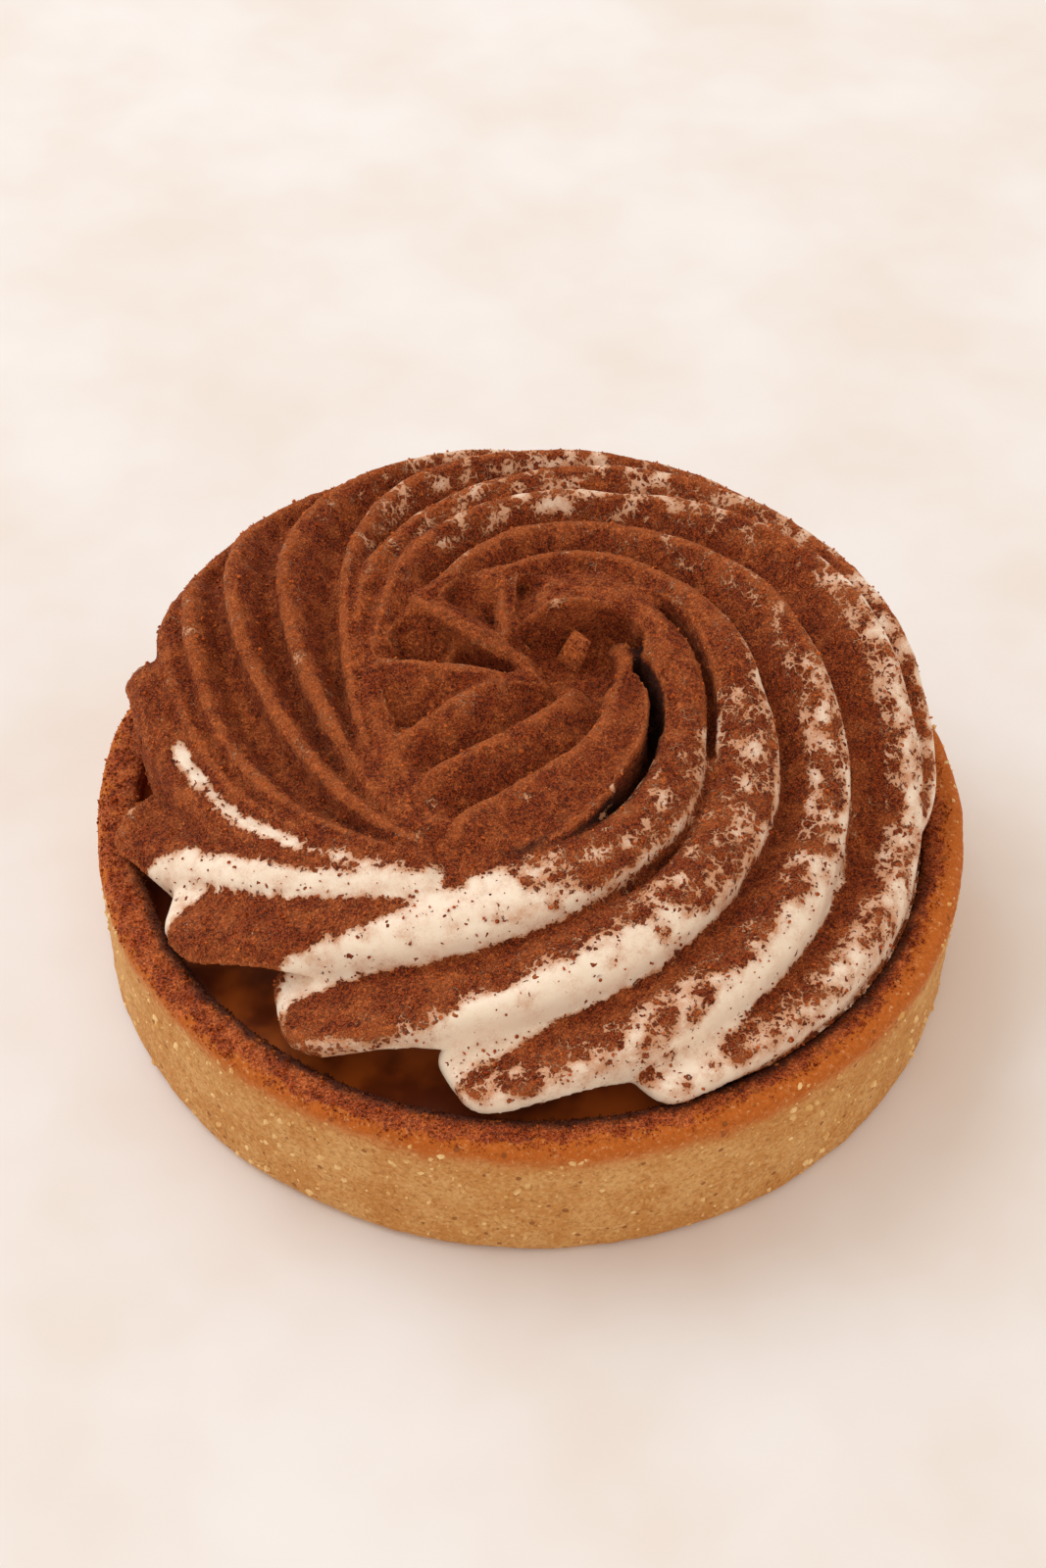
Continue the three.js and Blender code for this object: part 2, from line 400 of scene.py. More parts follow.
@dataclass(frozen=True)
class Petal(Ridge):
    """A ridge that starts at a blunt tip by the rim, winds in to a radius and is drawn in to a fold.

    It runs between the angles tip and stop, in degrees. It reaches the radius at the angle settle, the
    faster the greater fall is, and from the angle end it is drawn in to the radius fold.
    """

    tip: float
    settle: float
    radius: float
    fall: float
    end: float
    stop: float
    fold: float

    def angle_at(self, share: float) -> float:
        """Angle about the eye at a share of the ridge's length."""
        return lerp(self.tip, self.stop, share)

    def radius_at(self, angle: float) -> float:
        """Distance of the crest from the eye at an angle about it."""
        left = max(0.0, (self.settle - angle) / (self.settle - self.tip))
        turn = max(0.0, (angle - self.end) / (self.stop - self.end))
        settled = self.radius + (LAW.reach(self.tip) - self.radius) * left**self.fall
        return lerp(settled, self.fold, turn**self.form.draw)

    def crest(self, share: float) -> Vector:
        """Crest at a share of the ridge's length."""
        angle = self.angle_at(share)
        return LAW.crest(self.radius_at(angle), angle)


@dataclass(frozen=True)
class Ribbon(Petal):
    """A ridge that comes out from under its neighbour and runs round the back to the left fold.

    dip is how far its last part sags inwards, and tuck how far its start lies under the neighbour.
    """

    dip: float
    tuck: float

    def hidden(self, angle: float) -> float:
        """How far the ridge still lies under its neighbour at an angle about the eye, inwards and down."""
        return self.tuck * (1.0 - ease(self.tip, self.tip + 20.0, angle))

    def radius_at(self, angle: float) -> float:
        """Distance of the crest from the eye at an angle about it."""
        turn = max(0.0, (angle - self.end) / (self.stop - self.end))
        drawn = self.dip * math.sin(math.pi * turn) ** 2
        return super().radius_at(angle) - drawn - self.hidden(angle)

    def crest(self, share: float) -> Vector:
        """Crest at a share of the ridge's length."""
        place = super().crest(share)
        place.z -= 0.6 * self.hidden(self.angle_at(share))
        return place


@dataclass(frozen=True)
class Tongue(Ridge):
    """A short ridge from inside the ribbons to the eye, bent round it.

    It starts at an angle, in degrees, and runs between the radii start and stop. bend is the angle by which
    it turns on the way.
    """

    angle: float
    start: float
    stop: float
    bend: float

    def angle_at(self, share: float) -> float:
        """Angle about the eye at a share of the ridge's length."""
        return self.angle + self.bend * share**2

    def crest(self, share: float) -> Vector:
        """Crest at a share of the ridge's length."""
        return LAW.crest(lerp(self.start, self.stop, share), self.angle_at(share))


def all_ridges() -> list[Ridge]:
    """The petals, the ribbons and the tongues, from the front round to the eye.

    Returns:
        The ridges. Their rows give the fields of Petal, Ribbon and Tongue in order, but for a ribbon's
        stop, fold and tuck, which follow from its order. A tongue's row ends with its side, its width and
        its slope.
    """
    petals = [
        (-145, 36, 7.5, 2.0, 105, 137, 9.5),
        (-123, 64, 10.0, 2.0, 125, 170, 14.7),
        (-101, 84, 13.6, 1.9, 150, 192, 18.9),
        (-80, 82, 18.0, 1.25, 175, 217, 22.3),
    ]
    ribbons = [
        (-32, 150, 20.4, 2.0, 150, 2.2),
        (2, 80, 25.8, 1.0, 118, 4.2),
        (42, 110, 29.7, 1.0, 148, 3.3),
        (82, 150, 34.6, 1.0, 155, 2.8),
        (118, 165, 37.2, 1.0, 166, 0.2),
        (158, 176, 38.4, 1.0, 176, 0.0),
        (178, 181, 39.6, 1.0, 181, -0.7),
        (197, 201, 41.6, 1.0, 201, 0.7),
    ]
    tongues = [
        (137, 10.7, 6.0, 48, 1, 2.4, 0.6),
        (170, 16.0, 3.6, 38, 1, 6.0, 0.6),
        (192, 20.2, 3.2, 38, -1, 5.0, 0.6),
        (217, 23.5, 3.0, -6, -1, 7.0, 0.6),
        (229, 23.4, 2.4, 42, -1, 7.4, 0.6),
        (243, 24.6, 3.4, 78, -1, 7.8, 0.22),
        (292, 7.2, 2.9, 103, -1, 3.0, 0.3),
    ]
    ropes = [Span(-115, -80, 30, 75, 1.0), Span(-108, -70, 20, 65, 1.0), Span(), Span()]
    rolls = [
        Span(-155, -140, -70, -35, 1.0),
        Span(-119, -68, -40, -10, 1.0),
        Span(-101, -60, -30, 10, 1.0),
        Span(-78, -36, -20, 10, 0.7),
    ]
    ridges: list[Ridge] = [
        Petal(replace(PETAL_FORM, rope=rope, roll=roll), *row)
        for rope, roll, row in zip(ropes, rolls, petals)
    ]
    ridges[0] = replace(ridges[0], form=replace(ridges[0].form, tip_slope=-0.12, tail_slope=-0.08))
    for order, (tip, settle, hold, fall, leave, dip) in enumerate(ribbons):
        form = replace(RIBBON_FORM, tail_slope=0.9 if order else 0.55, tip_width=10.5 if order == 7 else 8.0)
        if order > 5:
            form = replace(form, roll=Span(150, 185, 260, 280, 1.0))
        tuck = 3.2 if order < 5 else 0.0
        stop, fold = 258.0 - 1.4 * order, 24.0 + 0.35 * order
        ridges.append(Ribbon(form, tip, settle, hold, fall, leave, stop, fold, dip, tuck))
    for angle, start, stop, bend, side, width, slope in tongues:
        form = replace(TONGUE_FORM, side=side, tip_width=width, tail_width=width / 2, tail_slope=slope)
        ridges.append(Tongue(form, angle, start, stop, bend))
    return ridges


# ---- the cream's skin -------------------------------------------------------------


@dataclass
class Guide:
    """Marks along the ridges, from which a place on the skin learns which ridge it lies on."""

    places: list[Vector] = field(default_factory=list)
    rows: list[tuple[float, float, float, float]] = field(default_factory=list)
    neighbours: int = 6
    least_distance: float = 0.15

    def mark(self, place: Vector, ridge: int, travel: float, inward: float, width: float) -> None:
        """Adds a mark: its ridge, the distance from the ridge's tip and from its crest, and its width."""
        self.places.append(place)
        self.rows.append((ridge, travel, inward, width))

    def read(self, places: np.ndarray) -> np.ndarray:
        """Reads the marks at places, between the nearest marks of the nearest ridge.

        Args:
            places: places on the skin.

        Returns:
            A row of ridge, travel, inward distance and width for each place.
        """
        tree = kdtree.KDTree(len(self.places))
        for index, place in enumerate(self.places):
            tree.insert(place, index)
        tree.balance()
        rows = np.array(self.rows)
        found = [tree.find_n(place, self.neighbours) for place in places]
        near = rows[[[mark[1] for mark in marks] for marks in found]]
        apart = np.array([[mark[2] for mark in marks] for marks in found])
        weight = 1.0 / (apart + self.least_distance) ** 2
        weight *= near[:, :, 0] == near[:, :1, 0]
        return (near * weight[:, :, None]).sum(1) / weight.sum(1)[:, None]


@dataclass
class CreamSwirl:
    """The piped cream: ridges and a core, joined into one skin, in millimetres and degrees."""

    ridges: list[Ridge] = field(default_factory=all_ridges)
    voxel: float = 0.3
    soften: int = 5
    step: float = 0.7
    tip_length: float = 1.6
    tip_rings: int = 5
    slant_fade: float = 12.0
    lip_start: float = 3.0
    lip_end: float = 12.0
    tail_drop: float = 2.6
    tail_start: float = 0.9
    core_radius: float = 31.5
    core_back: float = 36.3
    core_rings: int = 80
    core_sides: int = 320
    core_low: float = 1.0
    near_drop: float = 1.8
    far_drop: float = 3.1
    hollow: Vector = field(default_factory=lambda: Vector((-7.5, 6.6)))
    hollow_depth: float = 2.0
    trench: float = 4.6
    trench_width: float = 1.5
    trench_span: Span = Span(-108.0, -78.0, -5.0, 30.0, 1.0)
    crevice_shade_width: float = 1.1
    crevice_shade_span: Span = Span(-112.0, -96.0, 5.0, 24.0, 1.0)
    limit: float = 38.6
    turning: int = 12
    samples: int = 60
    ridge_sides: int = 44
    least_width: float = 1.2
    merge: float = 8.0
    probe: float = 0.2
    farthest: float = 12.0
    rope_width: float = 4.6
    rope_gap: float = 1.4
    bulge: float = 1.5
    crevice: float = 1.9
    most_triangles: int = 194000
    blur: int = 14
    even_rounds: int = 24
    guide: Guide = field(default_factory=Guide)

    def inner_wall(self, angle: float) -> float:
        """Distance from the eye to the inner wall of the first petal, which is narrower beside the eye."""
        narrow = lerp(self.rope_width - 0.5, self.rope_width - 2.3, ease(-14.0, 12.0, angle))
        return self.ridges[0].radius_at(angle) - narrow

    def width(self, order: int, share: float, outwards: Vector, plain: float, rope: float) -> float:
        """Width of a ridge's top, which reaches to its neighbour where it has one.

        Args:
            order: number of the ridge.
            share: share of the ridge's length.
            outwards: level direction of its outer side.
            plain: width where there is no neighbour.
            rope: how far the ridge is a round rope.

        Returns:
            The width.
        """
        ridge = self.ridges[order]
        if isinstance(ridge, Tongue):
            beside = order - ridge.form.side
            if beside < self.turning:
                return plain
            if beside < len(self.ridges) - 1:
                apart = self.ridges[beside].crest(share) - ridge.crest(share)
                return max(self.least_width, abs(apart.dot(outwards)) + 0.2)
            return self.room(ridge.crest(share), -outwards, self.crevice)
        inner = self.ridges[(order - 1) % self.turning]
        angle = ridge.angle_at(share)
        along = angle if order else angle + 360.0
        full = self.rope_width if order else self.room(ridge.crest(share), -outwards, 0.0)
        width = lerp(plain, full, rope)
        if inner.tip < along < inner.stop:
            spoke = Vector((math.cos(math.radians(angle)), math.sin(math.radians(angle)), 0.0))
            space = (ridge.radius_at(angle) - inner.radius_at(along)) * abs(outwards.dot(spoke))
            near = ease(inner.stop, inner.stop - self.merge, along)
            near *= ease(inner.tip, inner.tip + self.merge, along)
            gap = (self.rope_gap + self.bulge * inner.form.roll.at(along)) * rope
            width = lerp(width, max(self.least_width, space - gap), near)
        return width

    def room(self, start: Vector, way: Vector, gap: float) -> float:
        """How far it is from a place to a line inside the first petal's wall.

        Args:
            start: the place.
            way: a level direction.
            gap: distance of the line from the wall, beside the crevice.

        Returns:
            The distance along the way.
        """

        def inside(distance: float) -> bool:
            """Whether the place at this distance lies inside the line."""
            place = (start + way * distance).xy - LAW.eye
            angle = math.degrees(math.atan2(place.y, place.x))
            return place.length < self.inner_wall(angle) - gap * ease(-98.0, -68.0, angle)

        begun = inside(0.0)
        steps = (self.probe * step for step in range(4, round(self.farthest / self.probe)))
        return next((distance for distance in steps if inside(distance) != begun), self.farthest)

    def section(
        self, width: float, slope: float, height: float, taper: float, rope: float, roll: float
    ) -> list[Vector]:
        """Points of a ridge's section, as the distance outwards from the crest and down from it.

        Args:
            width: from the crest to the inner edge.
            slope: drop of the inner edge.
            height: from the crest to the foot.
            taper: 0 at a petal's broad tip, 1 where the ridge has become narrow.
            rope: 0 for a slope that faces inwards, 1 for a round rope with a steep inner wall.
            roll: 0 for a steep outer face, 1 for a round one.

        Returns:
            The points, from the outer foot over the crest and down the inner side.
        """
        face = min(1.4, 0.45 * height)
        low = lerp(face, height, 0.55)
        steep = [(0.2, height), (0.6, low), (0.7, face), (0.5, 0.3 * face), (0.0, 0.0)]
        bulge = [(1.7, height), (2.3, low), (2.1, 1.9), (1.3, 0.65), (0.0, 0.0)]
        drops = ((0.2, 0.04, 0.14), (0.45, 0.22, 0.48), (0.75, 0.62, 0.88), (1.0, 1.0, 1.0))
        blade = [(-share * width, lerp(broad, narrow, taper) * slope) for share, broad, narrow in drops]
        blade.append((0.3 - width, height))
        humps = ((0.28, -0.3), (0.58, -0.25), (0.85, 0.45), (0.97, 2.0), (0.9, height))
        rounded = [(-share * width, drop) for share, drop in humps]
        outer = [Vector(a).lerp(Vector(b), roll) for a, b in zip(steep, bulge)]
        return outer + [Vector(a).lerp(Vector(b), rope) for a, b in zip(blade, rounded)]

    @staticmethod
    def smooth_loop(points: list[Vector], share: float) -> Vector:
        """Point on a smooth closed curve.

        Args:
            points: the points that the curve runs through.
            share: share of the way round.

        Returns:
            The point.
        """
        place = share * len(points)
        index = math.floor(place)
        t = place - index
        a, b, c, d = (points[(index + k) % len(points)] for k in (-1, 0, 1, 2))
        bend = (2 * a - 5 * b + 4 * c - d) * t * t + (3 * b - a - 3 * c + d) * t**3
        return 0.5 * (2 * b + (c - a) * t + bend)

    def add_ridge(self, bm: bmesh.types.BMesh, order: int) -> None:
        """Adds one ridge, closed by a rounded tip and tail, and its marks.

        Args:
            bm: mesh to add to.
            order: number of the ridge.
        """
        ridge = self.ridges[order]
        form = ridge.form
        line = [ridge.crest(i / self.samples) for i in range(self.samples + 1)]
        paths = np.cumsum([0.0] + [(b - a).length for a, b in zip(line, line[1:])])
        length = float(paths[-1])
        body = max(6, round(length / self.step))
        caps = self.tip_rings
        rings = body + 2 * caps
        around = self.ridge_sides
        cap = self.tip_length / length

        def station(i: int) -> tuple[float, float]:
            """Finds where a ring lies.

            Args:
                i: number of the ring.

            Returns:
                Share of the length there, and scale of the section.
            """
            turn = min(1.0, min(i, rings - i) / caps) * math.pi / 2
            inset = cap * (1.0 - math.cos(turn))
            scale = math.sin(turn) ** 0.5
            if i <= caps:
                return inset, scale
            if i >= rings - caps:
                return 1.0 - inset, scale
            return lerp(cap, 1.0 - cap, (i - caps) / body), scale

        loops: dict[int, list[Vector]] = {}

        def ring(i: int) -> list[Vector]:
            """Lays one ring of the ridge and its marks.

            Args:
                i: number of the ring.

            Returns:
                The places of the ring's points.
            """
            t, scale = station(i)
            travel = t * length
            along = ridge.crest(min(1.0, t + 0.01)) - ridge.crest(max(0.0, t - 0.01))
            along.z = 0.0
            along.normalize()
            outwards = Vector((along.y, -along.x, 0.0)) * form.side
            taper = ease(0.0, form.taper, travel)
            angle = ridge.angle_at(t)
            rope, roll = form.rope.at(angle), form.roll.at(angle)
            plain = lerp(form.tip_width, form.tail_width, taper)
            width = self.width(order, t, outwards, plain, rope)
            slope = min(form.most_slope, lerp(form.tip_slope, form.tail_slope, taper) * width)
            top = ridge.crest(t)
            top.z -= self.tail_drop * ease(self.tail_start, 1.0, t)
            lip = ease(self.lip_start, self.lip_end, travel)
            height = lerp(form.tip_height, top.z - LAW.filling_top + 0.3, lip)
            slant = form.slant * (1.0 - ease(0.0, self.slant_fade, travel))
            points = self.section(width, slope, height, taper, rope, roll)
            middle = Vector((-0.45 * width, 0.5 * height))
            walked = float(np.interp(t, np.linspace(0.0, 1.0, len(paths)), paths))
            places = []
            for j in range(around):
                point = middle + (self.smooth_loop(points, j / around) - middle) * scale
                place = top + outwards * point.x + along * (point.x * slant)
                place.z -= point.y
                places.append(place)
                if scale == 1.0 and j <= 0.8 * around:
                    self.guide.mark(place, order, walked, -point.x, width)
            return places

        def law(i: int, j: int) -> Vector:
            """Place of the ridge's grid point (i, j)."""
            if i not in loops:
                loops[i] = ring(i)
            return loops[i][j % around]

        law_surface(bm, (rings, around), law)

    def crevice_shade(self, places: np.ndarray) -> np.ndarray:
        """Finds the crevice between the tongues and the first petal, where shade is painted into the cocoa.

        Args:
            places: places on the skin.

        Returns:
            1 in the crevice, 0 away from it.
        """
        around = places[:, :2] - np.array(LAW.eye)
        away = np.hypot(around[:, 0], around[:, 1])
        angle = np.degrees(np.arctan2(around[:, 1], around[:, 0]))
        wall = np.array([self.inner_wall(turn) for turn in angle])
        along = np.array([self.crevice_shade_span.at(turn) for turn in angle])
        return along * np.exp(-(((away - wall + 0.6) / self.crevice_shade_width) ** 2))

    def core_drop(self, x: float, y: float) -> float:
        """How far the core, which is the floor of the valleys, lies below the ridge tops.

        Args:
            x: distance of the place to the right of the tartlet's middle.
            y: its distance to the back.

        Returns:
            The depth.
        """
        away = math.hypot(x - LAW.eye.x, y - LAW.eye.y)
        angle = math.degrees(math.atan2(y - LAW.eye.y, x - LAW.eye.x))
        wall = self.inner_wall(angle) - 0.7
        trench = self.trench * math.exp(-(((away - wall) / self.trench_width) ** 2))
        trench *= self.trench_span.at(angle)
        hollow = self.hollow_depth * math.exp(-((x - self.hollow.x) ** 2 + (y - self.hollow.y) ** 2) / 9.0)
        return lerp(self.near_drop, self.far_drop, ease(3.0, 9.0, away)) + trench + hollow

    def add_core(self, bm: bmesh.types.BMesh) -> None:
        """Adds the core: it stands on the filling and follows the ridge tops below them.

        Args:
            bm: mesh to add to.
        """

        def law(i: int, j: int) -> Vector:
            """Lays the core's grid.

            Args:
                i: number of the step about the middle.
                j: number of the step outwards.

            Returns:
                The grid point's place.
            """
            turn = math.tau * (i % self.core_sides) / self.core_sides
            edge = lerp(self.core_radius, self.core_back, ease(-0.1, 0.4, math.sin(turn)))
            radius = edge * math.sin(math.pi / 2 * min(1.0, j / self.core_rings))
            x, y = radius * math.cos(turn), radius * math.sin(turn)
            top = LAW.crown(x, y) - self.core_drop(x, y)
            if j > self.core_rings:
                return Vector((0.0, 0.0, LAW.filling_top - 0.3))
            return Vector((x, y, max(LAW.filling_top + self.core_low, top)))

        law_surface(bm, (self.core_sides, self.core_rings + 1), law)

    def skin(self) -> bpy.types.Mesh:
        """Joins the ridges and the core.

        Returns:
            The skin's mesh, without its cocoa.
        """
        bm = bmesh.new()
        for order in range(len(self.ridges)):
            self.add_ridge(bm, order)
        self.add_core(bm)
        bmesh.ops.recalc_face_normals(bm, faces=bm.faces)
        join = ("REMESH", {"mode": "VOXEL", "voxel_size": self.voxel})
        return baked(meshed(bm, "ridges"), [join, ("SMOOTH", {"factor": 0.5, "iterations": self.soften})])

    def dust(self, mesh: bpy.types.Mesh) -> None:
        """Stores how much cocoa lies on each vertex, painted shade for its hollows and crevice and a painted
        highlight for its crests, and roughens the skin.

        Args:
            mesh: the skin.
        """
        places = vertex_array(mesh, "co")
        normals = vertex_array(mesh, "normal")
        points = [Vector(place) for place in places]
        ragged = wobbles(points, (1.0, 1.6, 2.0), (0.6, 0.7, 5.0))
        depth = np.array([LAW.crown(point.x, point.y) for point in points]) - places[:, 2]
        fall, marks = CocoaFall(), self.guide.read(places)
        even = np.stack([spread(mesh, places[:, k], self.even_rounds) for k in range(3)], 1)
        hollow = ((even - places) * normals).sum(1)
        cover = spread(mesh, fall.cover(places, normals, ragged, depth, hollow, marks), 3)
        bare = spread(mesh, fall.bare(marks), self.blur)
        cover *= 1.0 - 0.9 * smoothstep(0.15, 1.0, bare + 0.3 * ragged)
        store(mesh, "cocoa", cover)
        # Painted shade: the cocoa is darkened in the hollows and in the crevice between the tongues and the
        # first petal, where the skin lies in shade. The crest mark is a painted highlight that lightens the
        # cocoa on the crests.
        deep = self.crevice_shade(places) * smoothstep(0.1, 0.7, depth)
        store(mesh, "painted_shade", np.maximum(0.6 * smoothstep(0.08, 0.36, hollow), deep))
        store(mesh, "crest", smoothstep(0.05, 0.17, -hollow))
        lumps = wobbles(points, (0.16, 4.5, 1.0), (0.06, 1.8, 6.0))
        clumps = wobbles(points, (0.16, 0.8, 9.0))
        places += normals * (lumps + cover * clumps)[:, None]
        mesh.vertices.foreach_set("co", places.astype(np.float32).ravel())

    def rest(self, mesh: bpy.types.Mesh) -> None:
        """Lays the skin's underside on the filling and the rim, and trims it inside the shell.

        Args:
            mesh: the skin.
        """
        shell = TartShell()
        for vert in mesh.vertices:
            out = math.hypot(vert.co.x, vert.co.y)
            floor = LAW.filling_top - 0.1
            if out > shell.radius - shell.wall - 0.3:
                floor = shell.height + 0.02
            if out > self.limit:
                vert.co.x *= self.limit / out
                vert.co.y *= self.limit / out
            vert.co.z = max(floor, vert.co.z)

    def drop_specks(self, mesh: bpy.types.Mesh) -> None:
        """Deletes loose specks: only what hangs together with the skin's topmost vertex is kept.

        Args:
            mesh: the skin.
        """
        bm = bmesh.new()
        bm.from_mesh(mesh)
        front = [max(bm.verts, key=lambda vert: vert.co.z)]
        kept = set(front)
        while front:
            vert = front.pop()
            fresh = [edge.other_vert(vert) for edge in vert.link_edges]
            fresh = [other for other in fresh if other not in kept]
            kept.update(fresh)
            front += fresh
        loose = [vert for vert in bm.verts if vert not in kept]
        bmesh.ops.delete(bm, geom=loose, context="VERTS")
        bm.to_mesh(mesh)
        bm.free()
        log.info("cream: %d loose vertices deleted", len(loose))

    def build(self) -> bpy.types.Object:
        """Builds the cream.

        Returns:
            The piece.
        """
        mesh = self.skin()
        self.drop_specks(mesh)
        self.rest(mesh)
        self.dust(mesh)
        mesh.calc_loop_triangles()
        share = self.most_triangles / len(mesh.loop_triangles)
        mesh = baked(mesh, [("DECIMATE", {"ratio": share})])
        return finish_piece("cream", mesh, WhippedCream().material(), Slot.CREAM, Node.CREAM)


@dataclass(frozen=True)
class Flank:
    """Where the outer side of a ridge is bare of cocoa, in millimetres.

    start, full, fade and end run along the ridge from its tip. reach and low are the distances inwards
    from the crest between which it is bare, and share says how bare it is.
    """

    ridge: int
    start: float
    full: float
    fade: float
    end: float
    reach: float
    low: float = -9.0
    share: float = 1.0


@dataclass(frozen=True)
class CocoaFall:
    """How the sifted cocoa lies: thick at the left, less at the back, thin at the right.

    Ridges are named by their order. strips gives the width at the tip and the length of the bare strip
    along a petal's inner edge, in millimetres.
    """

    thick: float = 6.0
    thin: float = 1.5
    thick_edge: float = -3.0
    thin_edge: float = 18.0
    steep_thick: float = 2.5
    steep_thin: float = 0.8
    back_share: float = 0.5
    cling: float = 0.97
    front_petals: tuple[int, ...] = (10, 11, 0, 1, 2)
    last_ribbon: int = 11
    flank_length: float = 46.0
    strips: dict[int, tuple[float, float]] = field(
        default_factory=lambda: {0: (3.2, 12.0), 1: (5.0, 16.0), 2: (4.4, 19.0), 3: (5.5, 24.0)}
    )
    flanks: tuple[Flank, ...] = (
        Flank(10, 8.0, 13.0, 38.0, 46.0, 2.6, -0.5),
        Flank(10, 28.0, 36.0, 38.0, 46.0, -0.3),
        Flank(11, 3.5, 9.0, 34.0, 42.0, 0.1),
        Flank(0, 2.0, 34.0, 27.0, 46.0, 3.6),
        Flank(1, 2.0, 20.0, 25.0, 47.0, 0.8),
        Flank(2, 8.0, 26.0, 34.0, 44.0, -0.7),
        Flank(2, 2.0, 10.0, 44.0, 56.0, 0.4, share=0.5),
        Flank(3, 8.0, 20.0, 60.0, 72.0, 0.6, share=0.5),
    )

    def bare(self, marks: np.ndarray) -> np.ndarray:
        """Share of bare cream on the ridges' outer faces and along their inner edges.

        Args:
            marks: the guide's rows for the places.

        Returns:
            0 where cocoa may lie to 1 where there is none.
        """
        ridge, travel, inward, width = marks.T
        ridge = np.rint(ridge)
        bare = np.zeros(len(ridge))
        for flank in self.flanks:
            edge = lerp(-4.0, flank.reach, smoothstep(flank.start, flank.full, travel)) - inward
            side = smoothstep(-0.3, 0.3, edge) * smoothstep(flank.low - 0.3, flank.low + 0.3, inward)
            side *= flank.share * (1.0 - smoothstep(flank.fade, flank.end, travel))
            bare = np.maximum(bare, side * (ridge == flank.ridge))
        for order, (strip, length) in self.strips.items():
            edge = width - inward - strip * (1.0 - travel / length)
            bare = np.maximum(bare, smoothstep(0.3, -0.3, edge) * (ridge == order) * (inward > 0.5))
        return bare

    def cover(
        self,
        places: np.ndarray,
        normals: np.ndarray,
        ragged: np.ndarray,
        depth: np.ndarray,
        hollow: np.ndarray,
        marks: np.ndarray,
    ) -> np.ndarray:
        """Share of cocoa cover at places on the skin, where the cream is not kept bare.

        Args:
            places: places on the skin.
            normals: the skin's normals there.
            ragged: noise from about -1 to 1 there, which makes the edges ragged.
            depth: how far the places lie below the ridge tops.
            hollow: how far the skin is hollow there, or below zero how far it bulges.
            marks: the guide's rows for the places.

        Returns:
            0 for bare cream to 1 for a full cover.
        """
        ridge, travel, inward = marks.T[:3]
        x, y = places[:, 0], places[:, 1]
        # Less falls at the right and the back, and less of it stays on steep sides.
        sparse = smoothstep(self.thick_edge, self.thin_edge, 0.8 * x - 0.6 * y + 1.5 * ragged)
        behind = smoothstep(8.0, 26.0, y) * smoothstep(-24.0, -6.0, x)
        amount = lerp(self.thick, self.thin, sparse) * lerp(1.0, self.back_share, behind)
        steep = lerp(self.steep_thick, self.steep_thin, sparse)
        cover = 1.0 - np.exp(-amount * np.clip(normals[:, 2], 0.0, 1.0) ** steep)
        # The left, the middle and the hollows are covered, but not the outer faces of the front petals.
        away = np.hypot(x - LAW.eye.x, y - LAW.eye.y)
        near = smoothstep(18.0, 12.0, away + 1.5 * ragged)
        near = np.maximum(near, (ridge > self.last_ribbon) * smoothstep(0.8, 0.0, ragged))
        held = self.cling * np.maximum((1.0 - sparse) * (1.0 - behind), near)
        pool = np.maximum(smoothstep(0.9, 2.1, depth + 0.3 * ragged), smoothstep(0.1, 0.25, hollow))
        outer = np.isin(np.rint(ridge), self.front_petals) * smoothstep(0.3, -0.3, inward)
        outer *= smoothstep(self.flank_length, self.flank_length - 8.0, travel)
        cover = np.maximum(cover, np.maximum(held, pool * (1.0 - outer)))
        # The cover is patchy, and thin on the crests.
        cover *= 1.0 - 0.3 * np.maximum(sparse, behind) * (1.0 - near) * smoothstep(-0.3, 0.7, ragged)
        band = smoothstep(2.8, 1.4, inward) * smoothstep(-1.3, -0.3, inward)
        top = np.maximum(smoothstep(0.03, 0.13, -hollow), 0.8 * band) * smoothstep(-0.7, 0.6, ragged)
        worn = lerp(0.4, 0.66, np.maximum(sparse, behind) * (1.0 - near)) * top
        return cover * (1.0 - worn)


